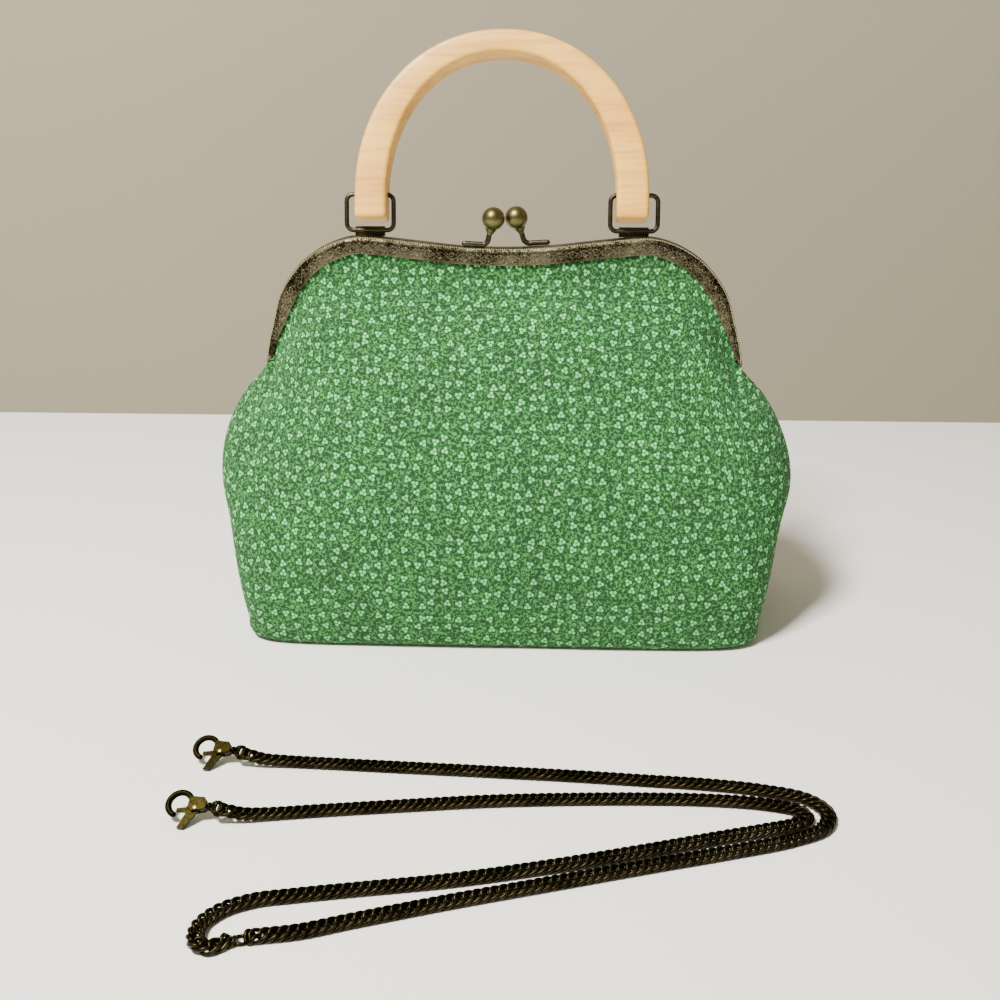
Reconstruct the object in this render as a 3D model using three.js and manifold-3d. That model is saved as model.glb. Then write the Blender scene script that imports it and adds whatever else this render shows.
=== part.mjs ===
// Frame handbag with an arched wooden handle on two wire rings, a stamped kiss-lock frame,
// and its detachable curb-chain strap lying on the table in front of it.
// Millimetres, +Z up. The origin is the middle of the bag's base, on the table; -Y is the front.

import * as THREE from 'three';
import { mergeVertices } from 'three/addons/utils/BufferGeometryUtils.js';
import Module from 'manifold-3d';

const wasm = await Module();
wasm.setup();

// Clearances between pieces
const seatGap = 0.3;
const pinGap = 0.2;

// Fabric body
const bodyHalfWidth = 161;
const baseHalfDepth = 68;
const fabricSkin = 2;

// Metal frame, outer edge
const frameHalfWidth = 134.5;
const frameEndHeight = 152.5;
const frameRise = 66.4;
const frameFace = 9.5;
const frameEndFace = 4.2;
const frameHalfDepth = 5.65;
const frameSheet = 0.9;
const frameTopDepth = 2.4;
const frameRound = 3.4;
const frameReliefHeight = 0.4;
const reliefPitch = 18;

// Ball clasp
const ballRadius = 6.25;
const ballOffset = 6.2;
const ballRise = 15.6;
const claspWireRadius = 1.25;
const claspFootLength = 12.4;
const claspMiddle = 1.1;
const claspBends = { front: 3.6, back: 4.8 };

// Wire rings and their lugs
const ringSpacing = 145.4;
const ringWidth = 26;
const ringHeight = 19.2;
const ringWireRadius = 1.3;
const ringCornerRadius = 3.6;
const ringLean = THREE.MathUtils.degToRad(11.5);
const lugLength = 16.4;
const lugWall = 0.7;

// Wooden handle
const handleMiddle = -0.9;
const handleReach = 7.5;
const handleLegWidth = 17.4;
const handleCrownWidth = 12.3;
const handleRise = 101.2;
const handleDepth = 17.5;
const handleLegStraight = 12;
const handleHoleHeight = 14;
const handleEdge = 3;
const handleLean = THREE.MathUtils.degToRad(16);

// Chain strap
const chainWidth = 7.4;
const chainThickness = 2.9;
const jumpRingLength = 9;
const jumpRingWidth = 6;
const jumpRingWire = 0.7;

// Trigger hooks
const hookRingRadius = 5.2;
const hookWireRadius = 1.2;
const hookBlockLength = 8.2;
const hookBlockWidth = 6.8;
const hookBlockThick = 4.4;
const hookPlateThick = 1.1;
const hookPinRadius = 0.75;
const hookTail = 9.2;
const swivelStemRadius = 1;
const swivelEyeRadius = 2.3;
const swivelEyeWire = 0.8;
const hookTilt = THREE.MathUtils.degToRad(33);

const materials = {
  fabric: new THREE.MeshStandardMaterial({ color: 0x4f8a55, roughness: 0.9, metalness: 0 }),
  bronze: new THREE.MeshStandardMaterial({ color: 0x5a4f30, roughness: 0.38, metalness: 1 }),
  brass: new THREE.MeshStandardMaterial({ color: 0x8b8148, roughness: 0.25, metalness: 1 }),
  wood: new THREE.MeshStandardMaterial({ color: 0xe6c79c, roughness: 0.55, metalness: 0 }),
  chain: new THREE.MeshStandardMaterial({ color: 0x4e452c, roughness: 0.35, metalness: 1 }),
};

const bag = new THREE.Group();

// Adds a mesh to a group and gives it the name of its piece
function addPiece(parent, name, geometry, material) {
  const mesh = new THREE.Mesh(geometry, material);
  mesh.name = name;
  parent.add(mesh);
  return mesh;
}

// A mesh's positions alone, with shared corners merged
function welded(geometry) {
  const bare = geometry.clone();
  bare.deleteAttribute('normal');
  bare.deleteAttribute('uv');
  return mergeVertices(bare, 1e-4);
}

function toSolid(geometry) {
  const bare = welded(geometry);
  return new wasm.Manifold(new wasm.Mesh({
    numProp: 3,
    vertProperties: new Float32Array(bare.attributes.position.array),
    triVerts: new Uint32Array(bare.index.array),
  }));
}

function toGeometry(solid) {
  const mesh = solid.getMesh();
  const geometry = new THREE.BufferGeometry();
  geometry.setAttribute('position', new THREE.BufferAttribute(mesh.vertProperties, 3));
  geometry.setIndex(new THREE.BufferAttribute(mesh.triVerts, 1));
  geometry.computeVertexNormals();
  return geometry;
}

function unite(geometries) {
  return toGeometry(geometries.map(toSolid).reduce((whole, part) => whole.add(part)));
}

function cut(geometry, tools) {
  return toGeometry(tools.map(toSolid).reduce((left, tool) => left.subtract(tool), toSolid(geometry)));
}

// Closed skin through rings of equal count, faces pointing out. Its ends are filled by the flat
// outline that the rings have, or else by fans from their middles
function loft(rings, outline = null) {
  const count = rings[0].length;
  const points = rings.flat();
  const faces = [];
  for (let r = 0; r < rings.length - 1; r += 1) {
    for (let i = 0; i < count; i += 1) {
      const a = r * count + i;
      const b = r * count + (i + 1) % count;
      faces.push(a, b, b + count, a, b + count, a + count);
    }
  }
  const lastRing = (rings.length - 1) * count;
  if (outline) {
    const filling = THREE.ShapeUtils.triangulateShape(outline, []);
    const turned = THREE.ShapeUtils.isClockWise(outline);
    for (const [a, b, c] of filling) {
      if (turned) faces.push(a, b, c, lastRing + c, lastRing + b, lastRing + a);
      else faces.push(c, b, a, lastRing + a, lastRing + b, lastRing + c);
    }
    return facingOut(points, faces);
  }
  const middleOf = (ring) => ring.reduce((sum, p) => sum.add(p), new THREE.Vector3())
    .multiplyScalar(1 / count);
  const first = points.push(middleOf(rings[0])) - 1;
  const last = points.push(middleOf(rings[rings.length - 1])) - 1;
  for (let i = 0; i < count; i += 1) {
    const next = (i + 1) % count;
    faces.push(first, next, i, last, lastRing + i, lastRing + next);
  }
  return facingOut(points, faces);
}

// Builds a geometry and turns its faces round if they enclose a negative volume
function facingOut(points, faces) {
  let volume = 0;
  for (let i = 0; i < faces.length; i += 3) {
    const [a, b, c] = [points[faces[i]], points[faces[i + 1]], points[faces[i + 2]]];
    volume += a.dot(new THREE.Vector3().crossVectors(b, c));
  }
  if (volume < 0) faces.reverse();
  const geometry = new THREE.BufferGeometry().setFromPoints(points);
  geometry.setIndex(faces);
  geometry.computeVertexNormals();
  return geometry;
}

// Reads a table with named columns at a place along its key column
function readTable(rows, key, at, column) {
  if (at <= rows[0][key]) return rows[0][column];
  for (let i = 1; i < rows.length; i += 1) {
    if (at <= rows[i][key]) {
      const before = rows[i - 1];
      const share = (at - before[key]) / (rows[i][key] - before[key]);
      return THREE.MathUtils.lerp(before[column], rows[i][column], share);
    }
  }
  return rows[rows.length - 1][column];
}

function tube(path, radius, steps, sides) {
  const section = new THREE.Shape();
  for (let i = 0; i < sides; i += 1) {
    const turn = (2 * Math.PI * i) / sides;
    const at = [radius * Math.cos(turn), radius * Math.sin(turn)];
    if (i === 0) section.moveTo(...at);
    else section.lineTo(...at);
  }
  section.closePath();
  return new THREE.ExtrudeGeometry(section, { extrudePath: path, steps });
}

// The frame's outer edge on one side: shares of its half width and of its rise over its ends
const frameOutline = [
  { across: 1.0, up: 0.0 },
  { across: 0.984, up: 0.142 },
  { across: 0.963, up: 0.294 },
  { across: 0.931, up: 0.508 },
  { across: 0.889, up: 0.65 },
  { across: 0.826, up: 0.795 },
  { across: 0.752, up: 0.9 },
  { across: 0.69, up: 0.957 },
  { across: 0.632, up: 0.991 },
  { across: 0.58, up: 1.0 },
  { across: 0.48, up: 0.986 },
  { across: 0.36, up: 0.96 },
  { across: 0.18, up: 0.922 },
  { across: 0.0, up: 0.909 },
];
const framePoint = (row, side) => new THREE.Vector3(
  side * row.across * frameHalfWidth, 0, frameEndHeight + row.up * frameRise);
const frameEdge = new THREE.CatmullRomCurve3([
  ...frameOutline.map((row) => framePoint(row, -1)),
  ...frameOutline.slice(0, -1).reverse().map((row) => framePoint(row, 1)),
], false, 'centripetal');
frameEdge.arcLengthDivisions = 600;

// A place along the outer edge, 0 at the left end and 1 at the right, with the way into the bag
function frameStation(share) {
  const point = frameEdge.getPointAt(share);
  const along = frameEdge.getTangentAt(share);
  const inward = new THREE.Vector3(along.z, 0, -along.x);
  const fromEnd = Math.min(share, 1 - share) * 2;
  const face = THREE.MathUtils.lerp(frameEndFace, frameFace, THREE.MathUtils.smoothstep(fromEnd, 0, 0.22));
  return { point, inward, face };
}

function frameTopAt(x) {
  let [low, high] = [0, 1];
  for (let i = 0; i < 40; i += 1) {
    const middle = (low + high) / 2;
    if (frameEdge.getPointAt(middle).x < x) low = middle;
    else high = middle;
  }
  return frameEdge.getPointAt(low).z;
}

// Depths of the channel that each half of the frame folds round the fabric's edge
const channelFront = frameHalfDepth - frameSheet;
const channelBack = seatGap / 2 + frameSheet;
const fabricFront = channelFront - seatGap;

// Horizontal sections of the full body: height as a share of the frame's end height, half width
// and half depth as shares of the body's, the squareness of the corners, and the share of the
// half width at which the front and back panels turn into the side gussets
const bodySections = [
  { height: 0.0, width: 0.872, depth: 0.945, square: 9, corner: 0.93 },
  { height: 0.02, width: 0.888, depth: 0.985, square: 9, corner: 0.93 },
  { height: 0.08, width: 0.896, depth: 1.02, square: 8.4, corner: 0.93 },
  { height: 0.165, width: 0.916, depth: 1.04, square: 7.4, corner: 0.92 },
  { height: 0.3, width: 0.945, depth: 1.04, square: 6, corner: 0.9 },
  { height: 0.435, width: 0.972, depth: 1.0, square: 4.8, corner: 0.88 },
  { height: 0.58, width: 1.0, depth: 0.92, square: 3.9, corner: 0.87 },
  { height: 0.685, width: 0.994, depth: 0.84, square: 3.4, corner: 0.87 },
  { height: 0.79, width: 0.96, depth: 0.74, square: 3.0, corner: 0.885 },
  { height: 0.89, width: 0.905, depth: 0.64, square: 2.7, corner: 0.92 },
  { height: 1.0, width: 0.855, depth: 0.52, square: 2.5, corner: 0.97 },
  { height: 1.12, width: 0.83, depth: 0.335, square: 2.6, corner: 0.97 },
  { height: 1.22, width: 0.83, depth: 0.185, square: 2.6, corner: 0.97 },
  { height: 1.29, width: 0.83, depth: 0.1, square: 2.6, corner: 0.97 },
  { height: 1.34, width: 0.83, depth: 0.066, square: 2.6, corner: 0.97 },
];

// Soft dents and swellings of the sides: side, place as shares of depth and of frame end height,
// how far in (less than 0 is out) and how wide, both as shares of the body's half width
const bodyDents = [
  { side: 1, depth: -0.3, height: 0.34, inward: 0.016, reach: 0.075 },
  { side: 1, depth: -0.2, height: 0.52, inward: -0.018, reach: 0.17 },
  { side: 1, depth: -0.45, height: 0.1, inward: -0.026, reach: 0.34 },
  { side: -1, depth: -0.2, height: 0.4, inward: 0.008, reach: 0.2 },
];

// Shares of the way up from which a column turns to its place in the frame: along X for a panel's
// middle, for a gusset's folded middle and for the corners, which puff out under the frame's ends,
// and along Y for them all
const middlePull = 0.5;
const foldPull = 0.93;
const cornerPull = 0.985;
const depthPull = 0.86;

const panelColumns = 17;
const gussetColumns = 7;
const cornerCrowding = 1.45;
const channelReach = 0.965;
const gussetDip = 9;
const gussetMouthDepth = 6.3;

// Where the fabric leaves the metal, and its edge inside, for a column of the front or back panel.
// Past the channel's reach the edge has dropped just below the frame's end
function panelMouth(across, front, outer) {
  if (Math.abs(across) === 1) return gussetMouth(across, front, outer);
  const y = front * (outer ? fabricFront : fabricFront - fabricSkin);
  if (Math.abs(across) > channelReach) {
    const x = Math.sign(across) * (frameHalfWidth - frameEndFace);
    const edge = new THREE.Vector3(x, y, frameEndHeight - 2 * seatGap);
    return { leave: edge.clone().setZ(edge.z - frameSheet), edge };
  }
  const { point, inward, face } = frameStation((across + 1) / 2);
  return {
    leave: point.clone().addScaledVector(inward, face + frameSheet).setY(y),
    edge: point.clone().addScaledVector(inward, frameRound + seatGap).setY(y),
  };
}

// The folded-in top of a side gusset; along is -1 at the front corner and 1 at the back one
function gussetMouth(side, along, outer) {
  const fold = 1 - along * along;
  const skin = outer ? 0 : fabricSkin;
  const x = frameHalfWidth - frameEndFace - skin - gussetDip * 0.5 * fold;
  const edge = new THREE.Vector3(
    side * x, along * (gussetMouthDepth - skin), frameEndHeight - 2 * seatGap - gussetDip * fold);
  return { leave: edge.clone().setZ(edge.z - frameSheet), edge };
}

// A point of the body's wall: place round it, share of the way up, outer face or inner
function bodyPoint(column, share, outer) {
  const { panel, across } = column;
  const { leave } = outer ? column.mouth.outer : column.mouth.inner;
  const skin = outer ? 0 : fabricSkin;
  const z = Math.max(share * leave.z, skin);
  const section = (name) => readTable(bodySections, 'height', z / frameEndHeight, name);
  const halfWidth = section('width') * bodyHalfWidth - skin;
  const halfDepth = section('depth') * baseHalfDepth - skin;
  const rest = (run) => (1 - Math.abs(run) ** section('square')) ** (1 / section('square'));
  const run = across * (panel ? section('corner') : rest(section('corner')));
  const x = panel ? run * halfWidth : column.side * rest(run) * halfWidth;
  const y = panel ? column.front * rest(run) * halfDepth : run * halfDepth;
  const point = new THREE.Vector3(x, y, z);
  for (const dent of bodyDents) {
    const away = Math.hypot(y - dent.depth * baseHalfDepth, z - dent.height * frameEndHeight)
      / (dent.reach * bodyHalfWidth);
    const near = x * dent.side > 0 ? Math.exp(-away * away) * Math.min(1, Math.abs(x) / halfWidth) ** 6 : 0;
    point.x -= dent.side * dent.inward * bodyHalfWidth * near;
  }
  const pullFrom = panel
    ? THREE.MathUtils.lerp(middlePull, cornerPull, Math.abs(across) ** 5)
    : THREE.MathUtils.lerp(foldPull, cornerPull, across ** 2);
  point.x = THREE.MathUtils.lerp(point.x, leave.x, THREE.MathUtils.smoothstep(share, pullFrom, 1));
  point.y = THREE.MathUtils.lerp(point.y, leave.y, THREE.MathUtils.smoothstep(share, depthPull, 1));
  return point;
}

function bodyColumns() {
  const columns = [];
  const spread = (count) => Array.from({ length: count }, (_, i) => {
    const even = (2 * i) / (count - 1) - 1;
    return Math.sign(even) * (1 - (1 - Math.abs(even)) ** cornerCrowding);
  });
  const dropped = (1 + channelReach) / 2;
  const panelPlaces = [-1, -dropped, ...spread(panelColumns).map((at) => at * channelReach), dropped];
  const gussetPlaces = spread(gussetColumns + 1).slice(0, -1);
  const addPanel = (front) => panelPlaces.forEach((place) => {
    columns.push({ panel: true, front, across: -front * place });
  });
  const addGusset = (side) => gussetPlaces.forEach((place) => {
    columns.push({ panel: false, side, across: side * place });
  });
  addPanel(-1);
  addGusset(1);
  addPanel(1);
  addGusset(-1);
  for (const column of columns) {
    const mouthOf = (outer) => (column.panel
      ? panelMouth(column.across, column.front, outer) : gussetMouth(column.side, column.across, outer));
    column.mouth = { outer: mouthOf(true), inner: mouthOf(false) };
  }
  return columns;
}

function makeBody() {
  const columns = bodyColumns();
  const rises = [0, 0.02, 0.08, 0.165, 0.3, 0.43, 0.56, 0.67, 0.77, 0.86, 0.93, 0.98, 1];
  const innerRises = [1, 0.93, 0.86, 0.77, 0.67, 0.5, 0.3, 0.1, 0];
  const floorShare = 0.6;
  const ringAt = (share, outer) => columns.map((column) => bodyPoint(column, share, outer));
  const edgeRing = (outer) => columns.map(({ mouth }) => (outer ? mouth.outer : mouth.inner).edge);
  const floorRing = (outer) => ringAt(0, outer).map((p) => new THREE.Vector3(
    p.x * floorShare, p.y * floorShare, p.z));
  const outer = rises.map((share) => ringAt(share, true));
  const inner = innerRises.map((share) => ringAt(share, false));
  return loft([floorRing(true), ...outer, edgeRing(true), edgeRing(false), ...inner, floorRing(false)]);
}

addPiece(bag, 'fabric_body', makeBody(), materials.fabric);

// One half of the stamped frame: a folded channel with a rounded shoulder swept round the arch,
// with raised ornament and a hinge tab at each end. front is -1 or 1; the tabs of the two halves lie side by side
const hingeTab = { drop: 6.4, halfWidth: 2.6, bury: 2.2, clear: 1.4 };
const hingeHeight = frameEndHeight - hingeTab.drop + hingeTab.halfWidth;
const hingeRadius = 1.1;

function frameChannel(front) {
  const stations = 38;
  const inside = seatGap / 2;
  const shoulder = (frameTopDepth + frameHalfDepth * 2) / 3;
  const sectionOf = (face) => [
    [0, inside], [0, frameTopDepth], [frameRound * 0.3, shoulder], [frameRound, frameHalfDepth],
    [face, frameHalfDepth], [face, channelFront], [frameRound, channelFront],
    [frameSheet, frameTopDepth], [frameSheet, channelBack], [face, channelBack], [face, inside],
  ];
  const rings = [];
  for (let i = 0; i <= stations; i += 1) {
    const { point, inward, face } = frameStation(i / stations);
    rings.push(sectionOf(face).map(([inset, depth]) => point.clone().addScaledVector(inward, inset)
      .setY(front * depth)));
  }
  return loft(rings, sectionOf(frameFace).map(([inset, depth]) => new THREE.Vector2(inset, depth)));
}

// Alternating raised leaves and bosses down the middle of the stamped face
function frameRelief(front) {
  const length = frameEdge.getLength();
  const count = Math.floor((length * 0.9) / reliefPitch);
  const motifs = [];
  for (let i = 0; i <= count; i += 1) {
    const { point, inward, face } = frameStation(0.05 + (0.9 * i) / count);
    const leaf = i % 2 === 0;
    const reach = face * (leaf ? 0.36 : 0.2);
    const motif = new THREE.CylinderGeometry(reach * 0.45, reach, frameReliefHeight * 2, leaf ? 4 : 6);
    if (leaf) motif.scale(1.5, 1, 0.8);
    const toFront = new THREE.Vector3(0, front, 0);
    const side = new THREE.Vector3().crossVectors(toFront, inward);
    const turned = new THREE.Matrix4().makeBasis(side, toFront, inward);
    motif.applyMatrix4(turned);
    const middle = point.clone().addScaledVector(inward, face * 0.52).setY(front * frameHalfDepth);
    motif.translate(middle.x, middle.y, middle.z);
    motifs.push(motif);
  }
  return motifs;
}

// A tab that hangs from each end, thin along X; the back half's lies inside the front half's
function frameTabs(front) {
  const depthIn = front < 0 ? 0 : frameSheet + seatGap;
  return [-1, 1].map((side) => {
    const tab = new THREE.BoxGeometry(frameSheet, 2 * hingeTab.halfWidth, hingeTab.drop + hingeTab.bury);
    tab.translate(side * (frameHalfWidth - frameSheet / 2 - depthIn), 0,
      frameEndHeight - (hingeTab.drop - hingeTab.bury) / 2);
    return tab;
  });
}

function makeFrameHalf(front) {
  const otherSide = new THREE.BoxGeometry(2.2 * frameHalfWidth, frameHalfDepth, 2 * hingeTab.drop);
  otherSide.translate(0, -front * frameHalfDepth / 2, frameEndHeight - hingeTab.clear + hingeTab.drop);
  const tabs = frameTabs(front).map((tab) => cut(tab, [otherSide]));
  const holes = [-1, 1].map((side) => {
    const hole = new THREE.CylinderGeometry(hingeRadius + pinGap, hingeRadius + pinGap, 6, 10);
    hole.rotateZ(Math.PI / 2);
    hole.translate(side * frameHalfWidth, 0, hingeHeight);
    return hole;
  });
  return cut(unite([frameChannel(front), ...tabs, ...frameRelief(front)]), holes);
}

addPiece(bag, 'frame_front', makeFrameHalf(-1), materials.bronze);
addPiece(bag, 'frame_back', makeFrameHalf(1), materials.bronze);

// The rivet through both tabs at each end of the frame
function makeHingeRivet(side) {
  const headRadius = 1.9;
  const headThick = 0.6;
  const outerFace = frameHalfWidth + seatGap / 2;
  const innerFace = frameHalfWidth - 2 * frameSheet - seatGap * 1.5;
  const rivet = new THREE.LatheGeometry([
    new THREE.Vector2(0, innerFace - headThick),
    new THREE.Vector2(headRadius, innerFace - headThick),
    new THREE.Vector2(headRadius, innerFace),
    new THREE.Vector2(hingeRadius, innerFace),
    new THREE.Vector2(hingeRadius, outerFace),
    new THREE.Vector2(headRadius, outerFace),
    new THREE.Vector2(0, outerFace + headThick),
  ], 8);
  rivet.rotateZ(-side * Math.PI / 2);
  rivet.translate(0, 0, hingeHeight);
  return rivet;
}

addPiece(bag, 'hinge_rivet_left', makeHingeRivet(-1), materials.bronze);
addPiece(bag, 'hinge_rivet_right', makeHingeRivet(1), materials.bronze);

// Ball clasp: a wire that lies along the frame's top, bends up and carries a ball on a collar
const halfMiddle = (frameHalfDepth + seatGap / 2) / 2;
const frameDip = frameEndHeight + frameOutline[frameOutline.length - 1].up * frameRise;

function makeClasp(side) {
  const across = (x) => claspMiddle + side * x;
  const ballCentre = new THREE.Vector3(across(ballOffset), 0, frameDip + ballRise);
  const bendX = ballOffset + (side < 0 ? claspBends.front : claspBends.back);
  const footEnd = bendX + claspFootLength;
  const seatOf = (x) => frameTopAt(across(x)) + seatGap + claspWireRadius;
  const rise = new THREE.Vector3(across(bendX), 0, seatOf(bendX));
  const up = ballCentre.clone().sub(rise).normalize();
  const foot = new THREE.Vector3(across(footEnd), 0, seatOf(footEnd));
  const along = foot.clone().sub(rise).normalize();
  const bend = claspWireRadius * 1.6;
  const path = new THREE.CurvePath();
  const bendStart = rise.clone().addScaledVector(along, bend);
  const bendEnd = rise.clone().addScaledVector(up, bend);
  const neck = ballCentre.clone().addScaledVector(up, -ballRadius * 0.8);
  path.add(new THREE.LineCurve3(foot, bendStart));
  path.add(new THREE.QuadraticBezierCurve3(bendStart, rise, bendEnd));
  path.add(new THREE.LineCurve3(bendEnd, neck));
  const wire = tube(path, claspWireRadius, 12, 8);
  const profile = [new THREE.Vector2(0, -ballRadius - 1.5), new THREE.Vector2(1.7, -ballRadius - 1.5)];
  const collarTurn = THREE.MathUtils.degToRad(24);
  const arcs = 7;
  for (let i = 0; i < arcs; i += 1) {
    const turn = THREE.MathUtils.lerp(collarTurn, Math.PI, i / arcs);
    profile.push(new THREE.Vector2(ballRadius * Math.sin(turn), -ballRadius * Math.cos(turn)));
  }
  profile.push(new THREE.Vector2(0, ballRadius));
  const ball = new THREE.LatheGeometry(profile, 12);
  ball.rotateX(Math.PI / 2);
  const tip = new THREE.Quaternion().setFromUnitVectors(new THREE.Vector3(0, 0, 1), up);
  ball.applyQuaternion(tip);
  ball.translate(ballCentre.x, 0, ballCentre.z);
  return unite([wire, ball]);
}

const claspFront = addPiece(bag, 'clasp_front', makeClasp(-1), materials.brass);
claspFront.position.y = -halfMiddle;
const claspBack = addPiece(bag, 'clasp_back', makeClasp(1), materials.brass);
claspBack.position.y = halfMiddle;

// Lugs: short cradles on the back half's top, open towards the front, in which the rings'
// lower bars turn
const lugBore = ringWireRadius + pinGap;
const lugRadius = lugBore + lugWall;
const lugY = halfMiddle;
const barHeight = frameEndHeight + frameRise + seatGap + lugRadius;

function makeLug() {
  const [lip, back] = [THREE.MathUtils.degToRad(25), THREE.MathUtils.degToRad(255)];
  const section = new THREE.Shape();
  section.absarc(0, 0, lugRadius, lip, back, false);
  section.absarc(0, 0, lugBore, back, lip, true);
  const lug = new THREE.ExtrudeGeometry(section, {
    depth: lugLength, bevelEnabled: false, curveSegments: 7,
  });
  lug.translate(0, 0, -lugLength / 2);
  // The section's X points to the front and its Y down
  lug.applyMatrix4(new THREE.Matrix4().makeBasis(
    new THREE.Vector3(0, -1, 0), new THREE.Vector3(0, 0, -1), new THREE.Vector3(1, 0, 0)));
  return lug;
}

for (const [name, side] of [['lug_left', -1], ['lug_right', 1]]) {
  const lug = addPiece(bag, name, makeLug(), materials.bronze);
  lug.position.set(handleMiddle + (side * ringSpacing) / 2, lugY, barHeight);
}

// Rings: one wire bent to a rectangle, with its two ends in the handle's leg
function makeRing() {
  const half = ringWidth / 2;
  const end = handleLegWidth / 2 - 4;
  const corners = [
    new THREE.Vector3(-end, 0, ringHeight), new THREE.Vector3(-half, 0, ringHeight),
    new THREE.Vector3(-half, 0, 0), new THREE.Vector3(half, 0, 0),
    new THREE.Vector3(half, 0, ringHeight), new THREE.Vector3(end, 0, ringHeight),
  ];
  const path = new THREE.CurvePath();
  let from = corners[0];
  for (let i = 1; i < corners.length - 1; i += 1) {
    const back = corners[i - 1].clone().sub(corners[i]).normalize();
    const on = corners[i + 1].clone().sub(corners[i]).normalize();
    const bendStart = corners[i].clone().addScaledVector(back, ringCornerRadius);
    const bendEnd = corners[i].clone().addScaledVector(on, ringCornerRadius);
    path.add(new THREE.LineCurve3(from, bendStart));
    path.add(new THREE.QuadraticBezierCurve3(bendStart, corners[i], bendEnd));
    from = bendEnd;
  }
  path.add(new THREE.LineCurve3(from, corners[corners.length - 1]));
  return tube(path, ringWireRadius, 34, 6);
}

for (const [name, side] of [['ring_left', -1], ['ring_right', 1]]) {
  const ring = addPiece(bag, name, makeRing(), materials.bronze);
  ring.position.set(handleMiddle + (side * ringSpacing) / 2, lugY, barHeight);
  ring.rotation.x = -ringLean;
}

// Handle: an arch on two short straight legs, bored across each leg for the ring's ends, which
// reaches a little past the rings' middles
const handleHalfWidth = ringSpacing / 2 + handleReach;

function makeHandle() {
  const stations = 26;
  const innerHalf = handleHalfWidth - handleLegWidth;
  const outerRise = handleRise - handleLegStraight;
  const innerRise = outerRise - handleCrownWidth;
  const halfDepth = handleDepth / 2;
  const ringBetween = (outer, inner, trim) => {
    const out = outer.clone().sub(inner).normalize();
    const far = outer.clone().addScaledVector(out, -trim);
    const near = inner.clone().addScaledVector(out, trim);
    const depth = halfDepth - trim;
    const at = (base, shift, y) => base.clone().addScaledVector(out, shift).setY(y);
    return [
      at(far, 0, -depth + handleEdge), at(far, -handleEdge, -depth),
      at(near, handleEdge, -depth), at(near, 0, -depth + handleEdge),
      at(near, 0, depth - handleEdge), at(near, handleEdge, depth),
      at(far, -handleEdge, depth), at(far, 0, depth - handleEdge),
    ];
  };
  const legRing = (side, w, trim) => ringBetween(new THREE.Vector3(side * handleHalfWidth, 0, w),
    new THREE.Vector3(side * innerHalf, 0, w), trim);
  const rings = [legRing(1, 0, handleEdge * 0.8), legRing(1, handleEdge * 0.8, 0)];
  for (let i = 0; i <= stations; i += 1) {
    const turn = (Math.PI * i) / stations;
    const [cos, sin] = [Math.cos(turn), Math.sin(turn)];
    rings.push(ringBetween(
      new THREE.Vector3(handleHalfWidth * cos, 0, handleLegStraight + outerRise * sin),
      new THREE.Vector3(innerHalf * cos, 0, handleLegStraight + innerRise * sin), 0));
  }
  rings.push(legRing(-1, handleEdge * 0.8, 0), legRing(-1, 0, handleEdge * 0.8));
  const bores = [-1, 1].map((side) => {
    const bore = new THREE.CylinderGeometry(lugBore, lugBore, handleLegWidth + 4, 10);
    bore.rotateZ(Math.PI / 2);
    bore.translate((side * ringSpacing) / 2, 0, handleHoleHeight);
    return bore;
  });
  return cut(loft(rings), bores);
}

const pivotY = lugY + ringHeight * Math.sin(ringLean);
const pivotHeight = barHeight + ringHeight * Math.cos(ringLean);
const handle = addPiece(bag, 'handle', makeHandle(), materials.wood);
handle.rotation.x = -handleLean;
handle.position.set(handleMiddle, pivotY - handleHoleHeight * Math.sin(handleLean),
  pivotHeight - handleHoleHeight * Math.cos(handleLean));

// Chain: the two lengths' chosen middle points, first to last, x, y and z
const chainLie = chainThickness / 2 + 0.1;
const chainRoutes = {
  chain_long: [
    [-111.3, -190.9, 5.8], [-103, -190.8, 3.4], [-94, -190.3, 1.9], [-74, -191, chainLie],
    [-37, -193, chainLie], [0, -194.9, chainLie], [38, -197, chainLie], [74, -199.7, chainLie],
    [100, -201.7, chainLie], [124, -205.5, chainLie], [141.5, -211.6, chainLie], [148.3, -222, chainLie],
    [144.6, -233, chainLie], [129, -242.2, chainLie], [102, -251.6, chainLie],
    [69, -261.9, chainLie], [29, -274.8, chainLie], [-10, -287.4, chainLie], [-46, -300, chainLie],
    [-64, -306.6, chainLie], [-79.9, -310, chainLie],
  ],
  chain_short: [
    [-110.2, -235.8, 5.8], [-102, -234.6, 3.4], [-93, -232.7, 1.9], [-72, -229, chainLie],
    [-32, -223.2, chainLie], [0, -218.9, chainLie], [34, -216, chainLie], [70, -214.2, chainLie],
    [100, -214.1, chainLie], [122, -216.2, chainLie], [135.6, -220.4, chainLie],
    [138.8, -225.6, chainLie], [133.6, -230.4, chainLie], [120.5, -235.2, chainLie],
    [100, -241.6, chainLie], [66, -252.6, chainLie], [30, -263.6, chainLie], [-10, -274.2, chainLie],
    [-45, -281, chainLie], [-70, -286, chainLie], [-85, -289.6, chainLie], [-96, -296, chainLie],
    [-101.6, -305, chainLie], [-100.5, -313.6, chainLie], [-95, -316.6, chainLie],
    [-89.7, -312.8, chainLie],
  ],
};
const chainSteps = { chain_long: 40, chain_short: 40 };

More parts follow.
